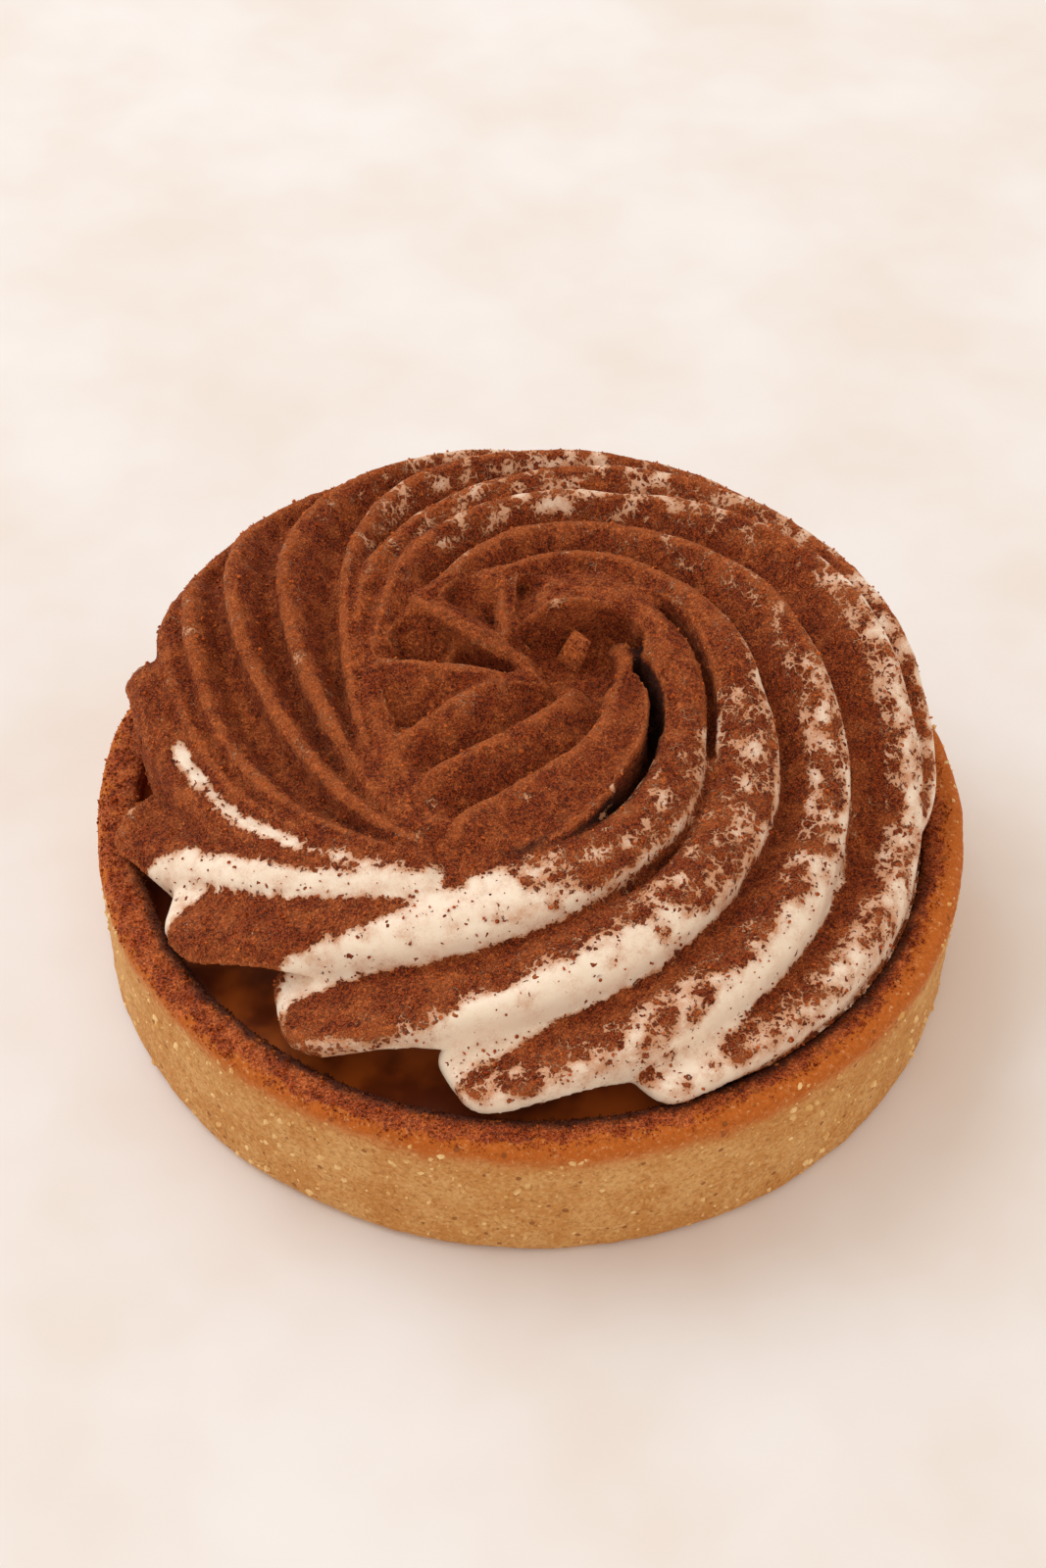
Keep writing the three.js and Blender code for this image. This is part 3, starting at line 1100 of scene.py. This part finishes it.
@dataclass(frozen=True)
class Grains:
    """Many loose bits on a piece, joined in one mesh, in millimetres.

    They lie above the height lowest, where the cover of cocoa is between low and high. level says how far
    they keep to places that face up, and sink how deep they lie in.
    """

    name: str
    count: int
    size: tuple[float, float]
    low: float
    high: float
    seed: int
    round: bool = False
    lowest: float = 13.0
    level: float = 0.8
    sink: float = -0.2

    def shape(self) -> tuple[np.ndarray, np.ndarray]:
        """Shapes one bit of width 1: a pebble, or a splinter with eight faces.

        Returns:
            Its corners, and its triangles by their numbers.
        """
        bm = bmesh.new()
        if self.round:
            bmesh.ops.create_icosphere(bm, subdivisions=1, radius=0.5)
        else:
            bmesh.ops.create_uvsphere(bm, u_segments=4, v_segments=2, radius=0.5)
        corners = np.array([vert.co[:] for vert in bm.verts])
        faces = np.array([[vert.index for vert in face.verts] for face in bm.faces])
        bm.free()
        return corners, faces

    def lie(self, piece: bpy.types.Object, draw: np.random.Generator) -> tuple[np.ndarray, ...]:
        """Draws places on a piece, more of them where it faces up.

        Args:
            piece: the piece.
            draw: source of random numbers.

        Returns:
            The places, the piece's normals there and a vertex of the piece beside each.
        """
        mesh = piece.data
        places = vertex_array(mesh, "co") / MM
        cover = np.empty(len(places), np.float32)
        mesh.attributes["cocoa"].data.foreach_get("value", cover)
        mesh.calc_loop_triangles()
        corners = np.empty(len(mesh.loop_triangles) * 3, np.int32)
        mesh.loop_triangles.foreach_get("vertices", corners)
        a, b, c = (places[corners[k::3]] for k in range(3))
        across = np.cross(b - a, c - a)
        area = np.linalg.norm(across, axis=1)
        normal = across / np.maximum(area, 1e-9)[:, None]
        share = cover[corners.reshape(-1, 3)].mean(1)
        wanted = smoothstep(self.low - 0.1, self.low + 0.1, share)
        wanted *= smoothstep(self.high + 0.1, self.high - 0.1, share)
        facing = 1.0 - self.level + self.level * np.clip(normal[:, 2], 0.0, 1.0)
        weight = area * wanted * facing * (a[:, 2] > self.lowest) * (np.hypot(a[:, 0], a[:, 1]) > 1.0)
        chosen = draw.choice(len(area), self.count, p=weight / weight.sum())
        u, v = draw.random(self.count), draw.random(self.count)
        u, v = np.where(u + v > 1.0, 1.0 - u, u), np.where(u + v > 1.0, 1.0 - v, v)
        start = a[chosen]
        spots = start + (b[chosen] - start) * u[:, None] + (c[chosen] - start) * v[:, None]
        return spots, normal[chosen], corners[::3][chosen]

    def build(self, piece: bpy.types.Object, material: bpy.types.Material, slot: Slot) -> bpy.types.Object:
        """Builds the bits on a piece.

        Args:
            piece: the piece they lie on.
            material: their finish.
            slot: the record's slot that the finish belongs to.

        Returns:
            The bits, joined as one piece.
        """
        draw = np.random.default_rng(self.seed)
        places, normals, under = self.lie(piece, draw)
        corners, faces = self.shape()
        width = draw.uniform(*self.size, self.count) * draw.uniform(0.5, 1.0, self.count)
        squash = draw.uniform(0.3, 1.0, (self.count, 3))
        turn = np.linalg.qr(draw.normal(size=(self.count, 3, 3)))[0]
        turn *= np.sign(np.linalg.det(turn))[:, None, None]
        bits = np.einsum("nij,nkj->nki", turn, corners[None] * squash[:, None, :])
        middles = places - normals * (self.sink * width)[:, None]
        points = bits * width[:, None, None] + middles[:, None, :]
        links = faces[None] + (np.arange(self.count) * len(corners))[:, None, None]
        mesh = bpy.data.meshes.new(self.name)
        mesh.from_pydata(points.reshape(-1, 3), [], links.reshape(-1, faces.shape[1]))
        # The bits take the painted shade and the painted highlight of the skin beside them.
        for mark in ("painted_shade", "crest"):
            if mark in piece.data.attributes:
                values = np.empty(len(piece.data.vertices), np.float32)
                piece.data.attributes[mark].data.foreach_get("value", values)
                store(mesh, mark, np.repeat(values[under], len(corners)))
        return finish_piece(self.name, mesh, material, slot, smooth=False)


ON_CREAM = (
    Grains("cocoa_grains", 12000, (0.12, 0.36), 0.25, 1.2, 3),
    Grains("cocoa_clumps", 3600, (0.25, 0.62), 0.45, 1.2, 5, True),
    Grains("cocoa_specks", 700, (0.25, 0.6), -0.2, 0.5, 7, True),
)
ON_RIM = (
    Grains("rim_grains", 9000, (0.14, 0.42), 0.35, 1.2, 11),
    Grains("rim_clumps", 1500, (0.3, 0.7), 0.5, 1.2, 13, True),
)
ON_WALL = Grains("wall_crumbs", 900, (0.35, 1.5), -0.2, 0.1, 17, True, 0.8, 0.0, 0.12)


@dataclass
class Flake:
    """A flake of dusted chocolate that stands in the middle of the cream, in millimetres."""

    foot: Vector = field(default_factory=lambda: Vector((3.6, 6.9, 26.6)))
    size: Vector = field(default_factory=lambda: Vector((2.6, 0.6, 3.6)))
    turns: tuple[float, float, float] = (-0.5, -0.3, 0.3)
    top_width: float = 0.75
    top_shift: float = -0.25
    edge: float = 0.12
    dent: float = 0.07

    def build(self) -> bpy.types.Object:
        """Builds the flake.

        Returns:
            The piece.
        """
        bm = bmesh.new()
        bmesh.ops.create_cube(bm, size=1.0)
        bmesh.ops.scale(bm, vec=self.size, verts=bm.verts)
        for vert in bm.verts:
            if vert.co.z > 0.0:
                vert.co.x = self.top_width * vert.co.x + self.top_shift
        bmesh.ops.bevel(
            bm, geom=bm.edges, offset=self.edge, segments=2, profile=0.5, affect="EDGES", material=-1
        )
        bmesh.ops.subdivide_edges(bm, edges=bm.edges, cuts=2, use_grid_fill=True)
        place = Matrix.Translation(self.foot)
        for turn, axis in zip(self.turns, "ZXY"):
            place = place @ Matrix.Rotation(turn, 4, axis)
        bmesh.ops.transform(bm, matrix=place, verts=bm.verts)
        for vert in bm.verts:
            vert.co += vert.normal * self.dent * wobble(vert.co, 0.8, 4.0)
        finish = Cocoa("dusted_flake", mid="b0623a")
        return finish_piece("flake", meshed(bm, "flake"), finish.material(), Slot.CREAM)


# ---- shell and filling --------------------------------------------------------------


@dataclass
class TartShell:
    """The pastry shell: a straight wall pressed into a ring, baked and a little uneven."""

    radius: float = 40.0
    height: float = 14.9
    wall: float = 3.8
    base: float = 3.2
    foot_round: float = 1.2
    rim_round: float = 1.1
    foot_width: float = 4.0
    inner_depth: float = 4.0
    even_radius: float = 30.0
    even_height: float = 0.05
    sides: int = 880
    fine: float = 0.3

    def arc(self, out: float, up: float, turn: float, start: float, end: float) -> list[tuple]:
        """Points of a rounded corner.

        Args:
            out: distance of its middle from the axis.
            up: height of its middle.
            turn: its radius.
            start: angle of its first point, in degrees.
            end: angle of its last point.

        Returns:
            The points.
        """
        count = max(2, round(math.radians(abs(end - start)) * turn / self.fine))
        angles = [math.radians(lerp(start, end, i / count)) for i in range(count + 1)]
        return [(out + turn * math.cos(a), up + turn * math.sin(a)) for a in angles]

    def profile(self) -> list[tuple[float, float]]:
        """The wall's outline, from the middle of the underside round to the middle of the floor.

        Returns:
            Distances outwards and heights, close together where the wall can be seen.
        """
        inner = self.radius - self.wall
        foot, rim = self.foot_round, self.rim_round
        corners = [
            [(0.0, 0.0), (self.radius - self.foot_width, 0.0)],
            self.arc(self.radius - foot, foot, foot, -90, 0),
            self.arc(self.radius - rim, self.height - rim, rim, 0, 90),
            self.arc(inner + rim, self.height - rim, rim, 90, 180),
            [(inner, self.height - self.inner_depth), (inner, self.base), (0.0, self.base)],
        ]
        points = [point for corner in corners for point in corner]
        outline = [points[0]]
        for before, after in zip(points, points[1:]):
            # The outer side, the rim and the top of the inner side are in view.
            high = max(before[1], after[1]) > self.height - self.inner_depth + 0.1
            in_wall = min(before[0], after[0]) > inner - 0.5
            seen = in_wall and high or before[0] > self.radius - 1e-6
            count = max(1, round(math.dist(before, after) / self.fine)) if seen else 1
            outline += [
                (lerp(before[0], after[0], k / count), lerp(before[1], after[1], k / count))
                for k in range(1, count + 1)
            ]
        return outline

    def relief(self, place: Vector) -> float:
        """How far the baked surface stands proud of the plain shell at a place."""
        soft = 0.16 * wobble(place, 13.0) + 0.1 * wobble(place, 4.5, 3.0)
        grain = 0.07 * wobble(place, 1.5, 7.0) + 0.05 * wobble(place, 0.75, 11.0)
        return soft + grain

    def build(self) -> bpy.types.Object:
        """Builds the shell.

        Returns:
            The piece.
        """
        bm = spun(self.profile(), self.sides)
        bm.normal_update()
        for vert in bm.verts:
            if vert.co.xy.length > self.even_radius and vert.co.z > self.even_height:
                vert.co += vert.normal * self.relief(vert.co)
        mesh = meshed(bm, "shell")
        self.brown(mesh)
        return finish_piece("shell", mesh, BakedPastry().material(), Slot.CRUST, Node.SHELL)

    def brown(self, mesh: bpy.types.Mesh) -> None:
        """Stores where the wall is browned, where cocoa lies on it and where that is darkened in front, as
        caramel soaking and painted shade.

        Args:
            mesh: the shell's mesh.
        """
        places = vertex_array(mesh, "co")
        out = np.hypot(places[:, 0], places[:, 1])
        turn = np.arctan2(places[:, 1], places[:, 0])
        ragged = wobbles([Vector(place) for place in places], (1.0, 2.2, 5.0), (0.6, 0.9, 0.0))
        top = smoothstep(self.height - 3.2, self.height - 0.4, places[:, 2] + 0.5 * ragged)
        # The cocoa reaches further out on the left of the rim; in front its inner edge is darkened, partly
        # for the coffee caramel soaking it and partly as painted shade.
        left = 0.5 - 0.5 * np.cos(turn - 0.3)
        outer = smoothstep(self.radius - 0.6, self.radius - 2.9, out + 0.7 * ragged - 1.9 * left)
        flat = smoothstep(self.height - 1.3, self.height - 0.5, places[:, 2])
        inside = smoothstep(self.radius - 2.5, self.radius - 3.5, out)
        soaked_and_shaded = smoothstep(self.radius - 1.8, self.radius - 3.2, out + 0.4 * ragged)
        store(mesh, "browned", top)
        store(mesh, "cocoa", np.clip(outer * np.maximum(flat, inside), 0.0, 1.0))
        # Painted shade together with caramel soaking: the front inner edge of the rim's cocoa is darkened.
        store(mesh, "painted_shade", 0.8 * soaked_and_shaded * smoothstep(0.3, -0.6, np.sin(turn)))


@dataclass
class CoffeeFilling:
    """The coffee caramel: a glossy pool whose edge climbs the wall a little."""

    radius: float = 36.3
    floor: float = 3.3
    top: float = 12.4
    climb: float = 0.6
    ring: float = 1.4
    rings: int = 24
    sides: int = 360

    def build(self) -> bpy.types.Object:
        """Builds the filling.

        Returns:
            The piece.
        """
        rows = [(0.0, self.floor), (self.radius, self.floor), (self.radius, self.top + self.climb)]
        for share in (0.12, 0.3, 0.55, 0.8, 1.0):
            rise = self.climb * (1.0 - share) ** 2
            rows.append((self.radius - 2.0 * self.climb * share, self.top + rise))
        flat = self.radius - 1.5
        rows += [(flat - self.ring * k, self.top) for k in range(1, self.rings)] + [(0.0, self.top)]
        bm = spun(rows, self.sides)
        for vert in bm.verts:
            if vert.co.z > self.top - 0.1:
                vert.co.z += 0.1 * wobble(vert.co, 7.0) + 0.05 * wobble(vert.co, 2.6, 4.0)
        mesh = meshed(bm, "filling")
        return finish_piece("filling", mesh, COFFEE_CARAMEL.material(), Slot.CARAMEL, Node.FILLING)


# ---- finishes -------------------------------------------------------------------

Tree = bpy.types.NodeTree
Socket = bpy.types.NodeSocket
SMOOTH = {"interpolation_type": "SMOOTHSTEP"}
COLOURS = {"data_type": "RGBA"}


def add_node(
    tree: Tree, kind: str, inputs: dict | tuple = (), output: str | int = 0, **settings: object
) -> Socket | None:
    """Adds a shader node.

    Args:
        tree: node tree to add to.
        kind: the node's type name, after "ShaderNode".
        inputs: values or sockets for its inputs, in their order, or by name or number.
        output: name or number of the output to pass on.
        settings: its other settings.

    Returns:
        The output, or nothing where the node has none.
    """
    node = tree.nodes.new("ShaderNode" + kind)
    for name, value in settings.items():
        setattr(node, name, value)
    for name, value in (inputs if isinstance(inputs, dict) else dict(enumerate(inputs))).items():
        if isinstance(value, Socket):
            tree.links.new(value, node.inputs[name])
        else:
            node.inputs[name].default_value = value
    return node.outputs[output] if node.outputs else None


@dataclass(frozen=True)
class Pattern:
    """Settings of a noise: the size of its lumps in millimetres, and how rough and how curled they are."""

    size: float
    detail: float = 2.0
    rough: float = 0.55
    curl: float = 0.0

    def at(self, place: Socket) -> dict:
        """A noise's inputs, over these coordinates."""
        scale = 1.0 / (self.size * MM)
        shape = {"Detail": self.detail, "Roughness": self.rough, "Distortion": self.curl}
        return {"Vector": place, "Scale": scale, **shape}


@dataclass(frozen=True)
class Cells:
    """Cells with bent edges: the bends' size, how far they reach and the cells' size, in millimetres."""

    wave: float
    reach: float
    size: float

    def lay(self, tree: Tree, place: Socket) -> tuple[Socket, Socket]:
        """Adds the cells to a tree.

        Args:
            tree: node tree to add to.
            place: the coordinates.

        Returns:
            The bent coordinates, and the distance from the nearest edge of a cell.
        """
        bend = {"Vector": place, "Scale": 1.0 / (self.wave * MM), "Detail": 1.0}
        shift = (add_node(tree, "TexNoise", bend, "Color"), (self.reach * MM,) * 3, place)
        bent = add_node(tree, "VectorMath", shift, operation="MULTIPLY_ADD")
        cells = {"Vector": bent, "Scale": 1.0 / (self.size * MM)}
        return bent, add_node(tree, "TexVoronoi", cells, feature="DISTANCE_TO_EDGE")


def weighed(tree: Tree, *parts: tuple[Socket, float], start: float = 0.0) -> Socket:
    """Adds up several patterns.

    Args:
        tree: node tree to add to.
        parts: each pattern and its weight.
        start: a number that is added to the sum.

    Returns:
        The sum.
    """
    total = start
    for part, weight in parts:
        total = add_node(tree, "Math", (part, weight, total), operation="MULTIPLY_ADD")
    return total


@dataclass(frozen=True)
class Finish:
    """A finish: a named material with one shader."""

    name: str

    def surface(self, tree: Tree, place: Socket) -> dict:
        """The shader's inputs: its values, and the sockets of its patterns over the coordinates."""
        raise NotImplementedError

    def material(self) -> bpy.types.Material:
        """Builds the patterns over the piece's own coordinates, the shader and the output.

        Returns:
            The material.
        """
        material = bpy.data.materials.new(self.name)
        material.use_nodes = True
        tree = material.node_tree
        tree.nodes.clear()
        place = add_node(tree, "TexCoord", output="Object")
        shader = add_node(tree, "BsdfPrincipled", self.surface(tree, place))
        add_node(tree, "OutputMaterial", {"Surface": shader})
        return material


@dataclass(frozen=True)
class Cocoa(Finish):
    """Alkalised cocoa powder, sifted: dull, fine and reddish brown, with painted shade where it lies in
    hollows and a painted highlight on crests.
    """

    name: str = "cocoa_powder"
    dark: str = "571c08"
    mid: str = "ae4b1c"
    # light is the tone of the lighter clumps and curls, and also of the painted highlight on crests.
    light: str = "e07c3e"
    # deep is the tone of the painted shade in hollows and crevices.
    deep: str = "240802"
    dust: Pattern = Pattern(0.3, 2.0, 0.65, 1.6)
    clumps: Pattern = Pattern(2.2)
    curled: Cells = Cells(0.5, 0.8, 0.5)

    def curls(self, tree: Tree, place: Socket) -> Socket:
        """Mask of the thin bright edges of the curled clumps."""
        return add_node(tree, "MapRange", (self.curled.lay(tree, place)[1], 0.16, 0.02), **SMOOTH)

    def colour(self, tree: Tree, place: Socket) -> Socket:
        """Colour of cocoa, uneven at the size of its clumps, with a painted highlight on crests and painted
        shade where it lies in hollows.

        Args:
            tree: node tree to add to.
            place: the coordinates.

        Returns:
            The colour.
        """
        add = partial(add_node, tree)
        dust = add("TexNoise", self.dust.at(place))
        clumps = add("TexNoise", self.clumps.at(place))
        crest = add("Attribute", output="Fac", attribute_name="crest")
        painted_shade = add("Attribute", output="Fac", attribute_name="painted_shade")
        # The crest mark adds a painted highlight to the clumps' lighter tone.
        clumps_and_crest_highlight = weighed(tree, (add("MapRange", (crest, 0.0, 1.0, 0.0, 0.2), **SMOOTH), 1.0), (clumps, 1.0))
        crisp = add("MapRange", (dust, 0.38, 0.62, 0.1, 1.0), **SMOOTH)
        clump_and_highlight_lift = add("MapRange", (clumps_and_crest_highlight, 0.36, 0.66, 0.25, 1.0), **SMOOTH)
        edges = add("Math", (self.curls(tree, place), crisp), operation="MULTIPLY")
        base = linear(self.dark)
        for share, tone in (
            (add("MapRange", (dust, 0.4, 0.6), **SMOOTH), self.mid),
            (add("MapRange", (clumps_and_crest_highlight, 0.42, 0.8, 0.0, 0.4), **SMOOTH), self.light),
            (add("Math", (edges, clump_and_highlight_lift), operation="MULTIPLY"), self.light),
            # Painted shade: towards the deep tone where the piece is marked as lying in shade.
            (add("MapRange", (painted_shade, 0.1, 0.95, 0.0, 0.92), **SMOOTH), self.deep),
        ):
            base = add("Mix", {0: share, 6: base, 7: linear(tone)}, 2, **COLOURS)
        return base

    def surface(self, tree: Tree, place: Socket) -> dict:
        """The shader's inputs for loose cocoa."""
        return {"Base Color": self.colour(tree, place), "Roughness": 0.95, "Specular IOR Level": 0.1}


@dataclass(frozen=True)
class WhippedCream(Finish):
    """Whipped cream: ivory and satin, with cocoa sifted over it."""

    name: str = "whipped_cream_with_cocoa"
    ivory: str = "f8e6cf"
    stain: str = "c27a45"
    dust: Pattern = Pattern(0.32, 3.0, 0.7, 1.6)
    patches: Pattern = Pattern(1.8)
    blots: Cells = Cells(0.7, 0.9, 0.85)
    speck: float = 0.6

    def specks(self, tree: Tree, place: Socket, cover: Socket) -> Socket:
        """Mask of single specks of cocoa, more and larger ones where the cover is thick.

        Args:
            tree: node tree to add to.
            place: the coordinates.
            cover: how thick the cocoa lies.

        Returns:
            The mask.
        """
        add = partial(add_node, tree)
        cells = add("TexVoronoi", {"Vector": place, "Scale": 1.0 / (self.speck * MM)}, "Distance")
        chance = add("SeparateColor", (cells.node.outputs["Color"],)).node.outputs
        share = add("MapRange", (cover, 0.0, 0.8, 0.06, 0.75), **SMOOTH)
        size = add("MapRange", (chance["Green"], 0.0, 1.0, 0.14, 0.38), **SMOOTH)
        kept = add("Math", (chance["Red"], share), operation="LESS_THAN")
        inside = add("Math", (cells, size), operation="LESS_THAN")
        return add("Math", (kept, inside), operation="MULTIPLY")

    def surface(self, tree: Tree, place: Socket) -> dict:
        """The shader's inputs: cream under a thin film of fat and cocoa, and cocoa in blots and specks.

        Args:
            tree: node tree to add to.
            place: the coordinates.

        Returns:
            The inputs.
        """
        add = partial(add_node, tree)
        cover = add("Attribute", output="Fac", attribute_name="cocoa")
        dust = add("TexNoise", self.dust.at(place))
        patches = add("TexNoise", self.patches.at(place))
        bent, edge = self.blots.lay(tree, place)
        level = weighed(tree, (patches, 0.8), (dust, 1.1), (edge, 1.7), (cover, 1.5))
        powder = add("MapRange", (level, 1.86, 2.0), **SMOOTH)
        mask = add("Math", (powder, self.specks(tree, bent, cover)), operation="MAXIMUM")
        haze = weighed(tree, (patches, 0.6), (dust, 0.5), (cover, 1.0))
        film = add("MapRange", (haze, 0.5, 1.1, 0.0, 0.9), **SMOOTH)
        cream = add("Mix", {0: film, 6: linear(self.ivory), 7: linear(self.stain)}, 2, **COLOURS)
        cocoa = Cocoa()
        colour = add("Mix", {0: mask, 6: cream, 7: cocoa.colour(tree, place)}, 2, **COLOURS)
        lumps = weighed(tree, (cocoa.curls(tree, place), 0.3), (dust, 1.0), start=0.3)
        height = add("Math", (mask, lumps), operation="MULTIPLY")
        return {
            "Base Color": colour,
            "Roughness": add("MapRange", (mask, 0.0, 1.0, 0.45, 0.95), **SMOOTH),
            "Normal": add("Bump", {"Height": height, "Distance": 0.4 * MM, "Strength": 1.0}),
            "Specular IOR Level": 0.25,
            "Subsurface Weight": 0.15,
            "Subsurface Radius": (1.0, 0.7, 0.5),
            "Subsurface Scale": 1.5 * MM,
        }


@dataclass(frozen=True)
class BakedPastry(Finish):
    """Baked short pastry: golden, matt and sandy, browned and dusted with cocoa at the rim."""

    name: str = "baked_short_pastry"
    golden: str = "c98a45"
    pale: str = "dca868"
    brown: str = "c2641a"
    pit: str = "8a4a1a"
    crumb: str = "f2d39c"
    sand: Pattern = Pattern(0.55, 3.0, 0.65)
    patches: Pattern = Pattern(5.0, 3.0)
    grit: Pattern = Pattern(0.4, 3.0, 0.7, 0.5)
    dust: Pattern = Pattern(0.35, 3.0, 0.65)
    blots: Pattern = Pattern(1.3, 2.0, 0.6)
    pit_size: float = 1.3

    def surface(self, tree: Tree, place: Socket) -> dict:
        """The shader's inputs: the sandy crust with its pits and crumbs, and cocoa over it.

        Args:
            tree: node tree to add to.
            place: the coordinates.

        Returns:
            The inputs.
        """
        add = partial(add_node, tree)
        cover = add("Attribute", output="Fac", attribute_name="cocoa")
        browned = add("Attribute", output="Fac", attribute_name="browned")
        patterns = (self.sand, self.patches, self.grit, self.dust, self.blots)
        sand, patches, grit, dust, blots = (add("TexNoise", pattern.at(place)) for pattern in patterns)
        cells = add("TexVoronoi", {"Vector": place, "Scale": 1.0 / (self.pit_size * MM)}, "Distance")
        chance = add("SeparateColor", (cells.node.outputs["Color"],), "Red")
        reach = add("MapRange", (chance, 0.3, 1.0, 0.0, 0.22), **SMOOTH)
        pits = add("Math", (cells, reach), operation="LESS_THAN")
        mottled = weighed(tree, (sand, 1.0), (patches, 1.0))
        crust = linear(self.golden)
        for share, tone in (
            (add("MapRange", (mottled, 0.8, 1.25), **SMOOTH), self.pale),
            (browned, self.brown),
            (add("MapRange", (grit, 0.5, 0.3, 0.0, 0.55), **SMOOTH), self.pit),
            (add("MapRange", (grit, 0.55, 0.75, 0.0, 0.5), **SMOOTH), self.crumb),
            (add("Math", (pits, 0.75), operation="MULTIPLY"), self.pit),
        ):
            crust = add("Mix", {0: share, 6: crust, 7: linear(tone)}, 2, **COLOURS)
        lying = weighed(tree, (dust, -0.7), (blots, -0.9), (cover, 1.0))
        mask = add("MapRange", (lying, -0.1, 0.1), **SMOOTH)
        height = add("Math", (grit, pits), operation="SUBTRACT")
        return {
            "Base Color": add("Mix", {0: mask, 6: crust, 7: Cocoa().colour(tree, place)}, 2, **COLOURS),
            "Roughness": 0.85,
            "Normal": add("Bump", {"Height": height, "Distance": 0.25 * MM, "Strength": 0.8}),
            "Specular IOR Level": 0.3,
        }


@dataclass(frozen=True)
class Clouded(Finish):
    """A finish whose two tones run into each other in soft clouds."""

    first: str
    second: str
    cloud: Pattern
    blur: float
    rough: float
    coat: float = 0.0
    coat_rough: float = 0.12

    def surface(self, tree: Tree, place: Socket) -> dict:
        """The shader's inputs: the clouded colour, the roughness and a clear coat.

        Args:
            tree: node tree to add to.
            place: the coordinates.

        Returns:
            The inputs.
        """
        noise_level = add_node(tree, "TexNoise", self.cloud.at(place))
        share = add_node(tree, "MapRange", (noise_level, 0.5 - self.blur, 0.5 + self.blur), **SMOOTH)
        tones = {0: share, 6: linear(self.first), 7: linear(self.second)}
        coat = {"Coat Weight": self.coat, "Coat Roughness": self.coat_rough}
        return {"Base Color": add_node(tree, "Mix", tones, 2, **COLOURS), "Roughness": self.rough, **coat}


# Pale crumbs of the same short pastry, which stand out of its surface.
PASTRY_CRUMB = Clouded("pastry_crumb", "f0cb8e", "d9a55e", Pattern(2.0), 0.15, rough=0.85)
# Soft-set coffee caramel: dark amber with a wet gloss.
COFFEE_CARAMEL = Clouded("coffee_caramel", "62260c", "ad541c", Pattern(6.0, 3.0), 0.15, rough=0.3, coat=0.2)
# A plain board, painted a pale matt grey-pink.
PALE_BOARD = Clouded("pale_board", "f1edea", "ebe1d8", Pattern(30.0, 3.0), 0.2, rough=0.8)


# ---- stage ----------------------------------------------------------------------


@dataclass(frozen=True)
class Studio:
    """Plain floor, soft light and the camera, in millimetres and degrees; the key light in metres."""

    aim: Vector = field(default_factory=lambda: Vector((-0.82, 15.16, 0.0)))
    distance: float = 248.1
    tilt: float = 46.93
    roll: float = 1.87
    lens: float = 56.25
    sensor: float = 36.0
    floor_reach: float = 1500.0
    key_place: tuple[float, float, float] = (-1.05, 0.65, 1.2)
    key_size: float = 1.3
    key_power: float = 14.2
    key_tone: str = "e6f3ff"
    sky_tone: str = "fff4ea"
    sky_strength: float = 0.86

    def floor(self) -> None:
        """A floor that runs past the view on every side."""
        bm = bmesh.new()
        bmesh.ops.create_grid(bm, x_segments=1, y_segments=1, size=self.floor_reach * MM)
        mesh = meshed(bm, "floor")
        mesh.materials.append(PALE_BOARD.material())
        floor = bpy.data.objects.new("floor", mesh)
        bpy.context.scene.collection.objects.link(floor)

    def camera(self) -> None:
        """The camera: it looks down on the front of the tartlet."""
        tilt = math.radians(self.tilt)
        back = Vector((0.0, -math.cos(tilt), math.sin(tilt)))
        data = bpy.data.cameras.new("camera")
        data.lens = self.lens
        data.sensor_width = self.sensor
        data.sensor_fit = "AUTO"
        data.clip_start = 0.01
        data.dof.use_dof = False
        camera = bpy.data.objects.new("camera", data)
        turn = (-back).to_track_quat("-Z", "Y").to_matrix() @ Matrix.Rotation(math.radians(self.roll), 3, "Z")
        camera.matrix_world = Matrix.Translation((self.aim + back * self.distance) * MM) @ turn.to_4x4()
        bpy.context.scene.collection.objects.link(camera)
        bpy.context.scene.camera = camera

    def key_light(self) -> None:
        """A square soft light from the back left, which faces the tartlet."""
        data = bpy.data.lights.new("key", "AREA")
        data.size = self.key_size
        data.energy = self.key_power
        data.color = linear(self.key_tone)[:3]
        lamp = bpy.data.objects.new("key", data)
        lamp.location = Vector(self.key_place)
        lamp.rotation_euler = (-Vector(self.key_place)).to_track_quat("-Z", "Y").to_euler()
        bpy.context.scene.collection.objects.link(lamp)

    def sky(self) -> None:
        """An even warm light from all round."""
        world = bpy.data.worlds.new("studio")
        world.use_nodes = True
        inputs = world.node_tree.nodes["Background"].inputs
        inputs["Color"].default_value = linear(self.sky_tone)
        inputs["Strength"].default_value = self.sky_strength
        bpy.context.scene.world = world

    def build(self) -> None:
        """Sets the whole stage."""
        self.floor()
        self.camera()
        self.key_light()
        self.sky()
        bpy.context.scene.view_settings.view_transform = "Standard"


def main() -> None:
    """Builds the tartlet and its stage."""
    Studio().build()
    shell = TartShell().build()
    CoffeeFilling().build()
    cream = CreamSwirl().build()
    Flake().build()
    loose = Cocoa("loose_cocoa").material()
    for grains in ON_CREAM:
        grains.build(cream, loose, Slot.CREAM)
    for grains in ON_RIM:
        grains.build(shell, loose, Slot.CRUST)
    ON_WALL.build(shell, PASTRY_CRUMB.material(), Slot.CRUST)


if __name__ == "__main__":
    logging.basicConfig(level=logging.INFO, format="%(name)s: %(message)s")
    main()
